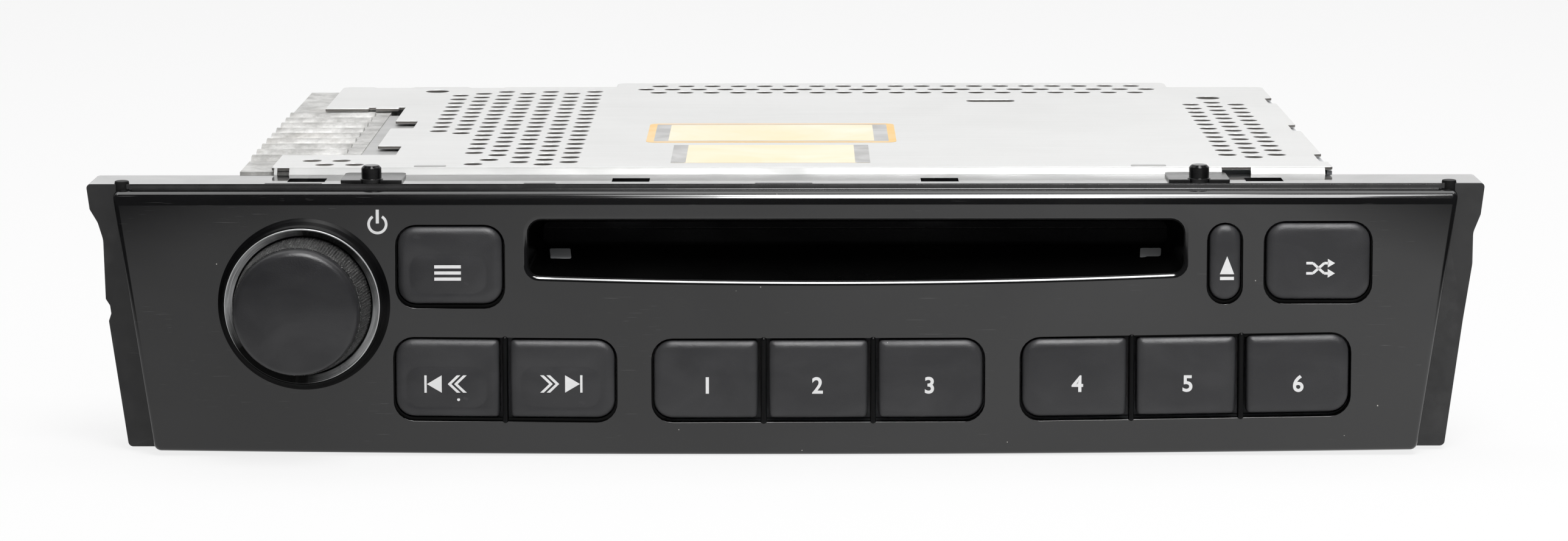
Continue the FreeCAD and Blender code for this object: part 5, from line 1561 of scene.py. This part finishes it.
        # The folded edge, shelf and patches take the darker copy of the cover steel, which is painted shade.
        attach(self.bend(), self.finishes["cover bend painted shade"], "root", "cover_steel")
        strip = rectangle(*self.shelf, 0.5)
        shelf = flat_form("left_shelf", [strip], *self.shelf_heights, Plane.PLAN, 0.1, 2)
        attach(smooth(place(shelf, TO_METRES)), self.finishes["cover bend painted shade"], "root", "cover_steel")
        self.patches()
        self.stickers()


@dataclass
class Housing:
    """The frame, clips, chassis, heat sink and rear sockets, rounded as they are made."""

    finishes: Finishes
    fins_start: float = 36.5
    fins_stretch: float = 0.17
    bead: Edges = (-128.0, 128.0, 51.72, 52.16)
    bead_depths: Point = (-69.95, -69.3)
    nodes: tuple[tuple[str, float, int, str, str], ...] = (
        ("trim_frame", 0.3, 3, "frame gloss black", "frame_black"),
        ("left_locating_clip", 0.14, 3, "clip black steel", "clip_black"),
        ("right_locating_clip", 0.14, 3, "clip black steel", "clip_black"),
        ("panel_screws", 0.2, 2, "peg black", "clip_black"),
        ("lower_chassis", 0.15, 2, "chassis steel", "chassis_steel"),
        ("heat_sink", 0.6, 4, "cast aluminium", "cast_aluminium"),
        ("cover_screws", 0.15, 2, "screw steel", "screw_steel"),
        ("rear_connector", 0.25, 2, "moulding black", "black_plastic"),
        ("aerial_socket", 0.15, 2, "tinned steel", "tin_can"),
        ("rear_stud", 0.12, 2, "screw steel", "screw_steel"))

    def build(self) -> None:
        """Builds the rounded copies and the thin bead on the frame."""
        for node, width, segments, finish, slot in self.nodes:
            piece = softened(node, width, segments)
            if node == "heat_sink":
                self.stretch(piece)
            attach(piece, self.finishes[finish], "root", slot, node)
        bead = flat_form("frame_bead", [rectangle(*self.bead, 0.2)], *self.bead_depths, Plane.PANEL, 0.2, 5)
        attach(smooth(place(bead, TO_METRES)), self.finishes["frame gloss black"], "root", "frame_black")

    def stretch(self, heat_sink: Piece) -> None:
        """Draws out the rear end of the heat sink, which reaches past the cover's edge."""
        for vertex in heat_sink.data.vertices:
            vertex.co.y += max(vertex.co.y - self.fins_start * MM, 0.0) * self.fins_stretch


@dataclass
class Mechanism:
    """The nodes inside, which keep their CAD shapes and get finishes."""

    finishes: Finishes
    dress: dict[str, str] = field(default_factory=lambda: {
        "rubber_keypad": "silicone grey", "front_circuit_board": "board green",
        "board_screws": "screw steel", "board_connector": "nylon white", "switch_plunger": "acetal grey",
        "encoder_shaft": "screw steel", "volume_encoder": "moulding black",
        "main_circuit_board": "board green",
        "processor_chips": "chip black", "capacitors": "capacitor sleeve", "tuner_module": "tinned steel",
        "amplifier_chip": "chip black", "connector_pins": "contact metal", "deck_brackets": "chassis steel",
        "deck_dampers": "rubber black", "deck_plate": "chassis steel", "roller_bushes": "nylon white",
        "spindle_motor": "motor can", "turntable": "acetal grey", "clamp_arm": "chassis steel",
        "clamp_puck": "moulding black", "pickup_sled": "moulding black", "pickup_lens": "coated lens",
        "guide_rods": "screw steel", "feed_roller": "rubber black", "roller_shaft": "screw steel",
        "loading_gear": "nylon white", "loading_pinion": "nylon white", "loading_motor": "motor can",
        "lead_screw": "nylon white", "sled_pinion": "nylon white", "sled_motor": "motor can",
        "disc_guide": "moulding black"})

    def build(self) -> None:
        """Gives each node its finish."""
        for node, finish in self.dress.items():
            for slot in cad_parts[node].material_slots:
                slot.material = self.finishes[finish]
            LOG.info("%s keeps its shape, finished in %s", node, finish)


# Studio

@dataclass
class Studio:
    """The pale floor, the soft lamps, the white surroundings and the camera."""

    sensor: float = 36.0
    photo_width: float = 2576.0
    focal_pixels: float = 7000.0
    position: Corner = (0.00197, -0.89486, 0.17286)
    down: float = 9.427
    azimuth: float = -0.154
    roll: float = -0.071
    window_glow: float = 14.0
    floor_size: float = 12.0
    floor_gap: float = 0.0002
    floor_tone: float = 0.86

    def camera(self) -> None:
        """Sets the camera at the photograph's place and angle."""
        bpy.ops.object.camera_add()
        camera = bpy.context.object
        camera.name = "studio_camera"
        camera.data.lens = self.focal_pixels / self.photo_width * self.sensor
        camera.data.sensor_width = self.sensor
        camera.data.clip_start = 0.05
        turn = (Matrix.Rotation(math.radians(-self.azimuth), 4, "Z")
                @ Matrix.Rotation(math.radians(90.0 - self.down), 4, "X")
                @ Matrix.Rotation(math.radians(self.roll), 4, "Z"))
        camera.matrix_world = Matrix.Translation(self.position) @ turn
        bpy.context.scene.camera = camera

    def lamp(self, name: str, spot: Corner, aim: Corner, size: Point, power: float) -> None:
        """Hangs one soft rectangular lamp.

        Args:
            name: The lamp's name.
            spot: Where it hangs.
            aim: The point that it faces.
            size: Its width and height.
            power: Its power in watts.
        """
        bpy.ops.object.light_add(type="AREA")
        lamp = bpy.context.object
        lamp.name = name
        lamp.data.shape = "RECTANGLE"
        lamp.data.size, lamp.data.size_y = size
        lamp.data.energy = power
        way = Vector(aim) - Vector(spot)
        lamp.matrix_world = Matrix.Translation(spot) @ way.to_track_quat("-Z", "Y").to_matrix().to_4x4()

    def surroundings(self) -> None:
        """Makes the world a white room, which shiny faces see as dark below and in front, with one window."""
        world = bpy.data.worlds.new("white room")
        bpy.context.scene.world = world
        world.use_nodes = True
        sheet = Sheet(world.node_tree)
        light = world.node_tree.nodes["Background"]
        x, y, z = sheet.axes("Generated")
        bright = sheet.times(sheet.spread(y, 0.35, 0.6), sheet.spread(z, 0.5, 0.95, 1.0, 0.25))
        window = sheet.times(sheet.spread(z, 0.7, 0.74), sheet.spread(x, -0.09, 0.01),
                             sheet.spread(x, 0.148, 0.156, 1.0, 0.0), sheet.spread(y, -0.06, -0.1))
        room = sheet.spread(bright, 0.0, 1.0, 0.03, 1.0)
        lit = sheet.maths("ADD", room, sheet.times(window, self.window_glow))
        glossy, direct = sheet.rays()
        others = sheet.times(sheet.maths("SUBTRACT", 1.0, glossy), 0.4)
        seen = sheet.maths("MAXIMUM", sheet.times(glossy, lit), direct)
        light.inputs["Color"].default_value = (1.0, 1.0, 1.0, 1.0)
        sheet.give(light.inputs["Strength"], sheet.maths("MAXIMUM", seen, others))

    def floor(self) -> None:
        """Lays the pale floor, which keeps the object's shadow."""
        deselect()
        bpy.ops.mesh.primitive_plane_add(size=self.floor_size, location=(0, 0, -self.floor_gap))
        floor = bpy.context.object
        floor.name = "studio_floor"
        material = bpy.data.materials.new("pale floor")
        material.use_nodes = True
        sheet = Sheet(material.node_tree)
        nodes = material.node_tree.nodes
        matte = nodes["Principled BSDF"]
        matte.inputs["Base Color"].default_value = (self.floor_tone,) * 3 + (1.0,)
        matte.inputs["Roughness"].default_value = 0.9
        matte.inputs["Specular IOR Level"].default_value = 0.1
        x = sheet.axes()[0]
        across = sheet.spread(x, -0.22, 0.2, 0.5, 0.88)
        aside = sheet.spread(sheet.maths("ABSOLUTE", x), 0.22, 0.32, 1.0, 0.03)
        glossy, direct = sheet.rays()
        strength = sheet.maths("MAXIMUM", sheet.times(glossy, across, aside), direct)
        glow = sheet.add("Emission", Strength=strength)
        share = sheet.maths("MAXIMUM", glossy, sheet.times(direct, 0.82))
        mixed = sheet.add("MixShader")
        sheet.give(mixed.inputs[0], share)
        sheet.give(mixed.inputs[1], matte.outputs[0])
        sheet.give(mixed.inputs[2], glow.outputs[0])
        sheet.give(nodes["Material Output"].inputs["Surface"], mixed.outputs[0])
        floor.data.materials.append(material)

    def build(self) -> None:
        """Builds the studio."""
        self.surroundings()
        self.floor()
        self.lamp("overhead_softbox", (0.0, 0.3, 1.1), (0.0, 0.0, 0.03), (1.5, 0.6), 4.5)
        self.lamp("key_softbox", (0.175, -0.48, 0.96), (0.175, -0.075, 0.05), (0.45, 0.6), 6.8)
        self.camera()
        bpy.context.scene.view_settings.view_transform = "Standard"


def main() -> None:
    """Builds the player's looks in order."""
    logging.basicConfig(level=logging.INFO, format="%(name)s: %(message)s")
    finishes = Finishes()
    keys = Keys(finishes)
    for assembly in (FrontPanel(finishes), keys, Marks(finishes, keys), VolumeKnob(finishes),
                     TopCover(finishes), Housing(finishes), Mechanism(finishes), Studio()):
        assembly.build()
        LOG.info("%s is done", type(assembly).__name__)


if __name__ == "__main__":
    main()
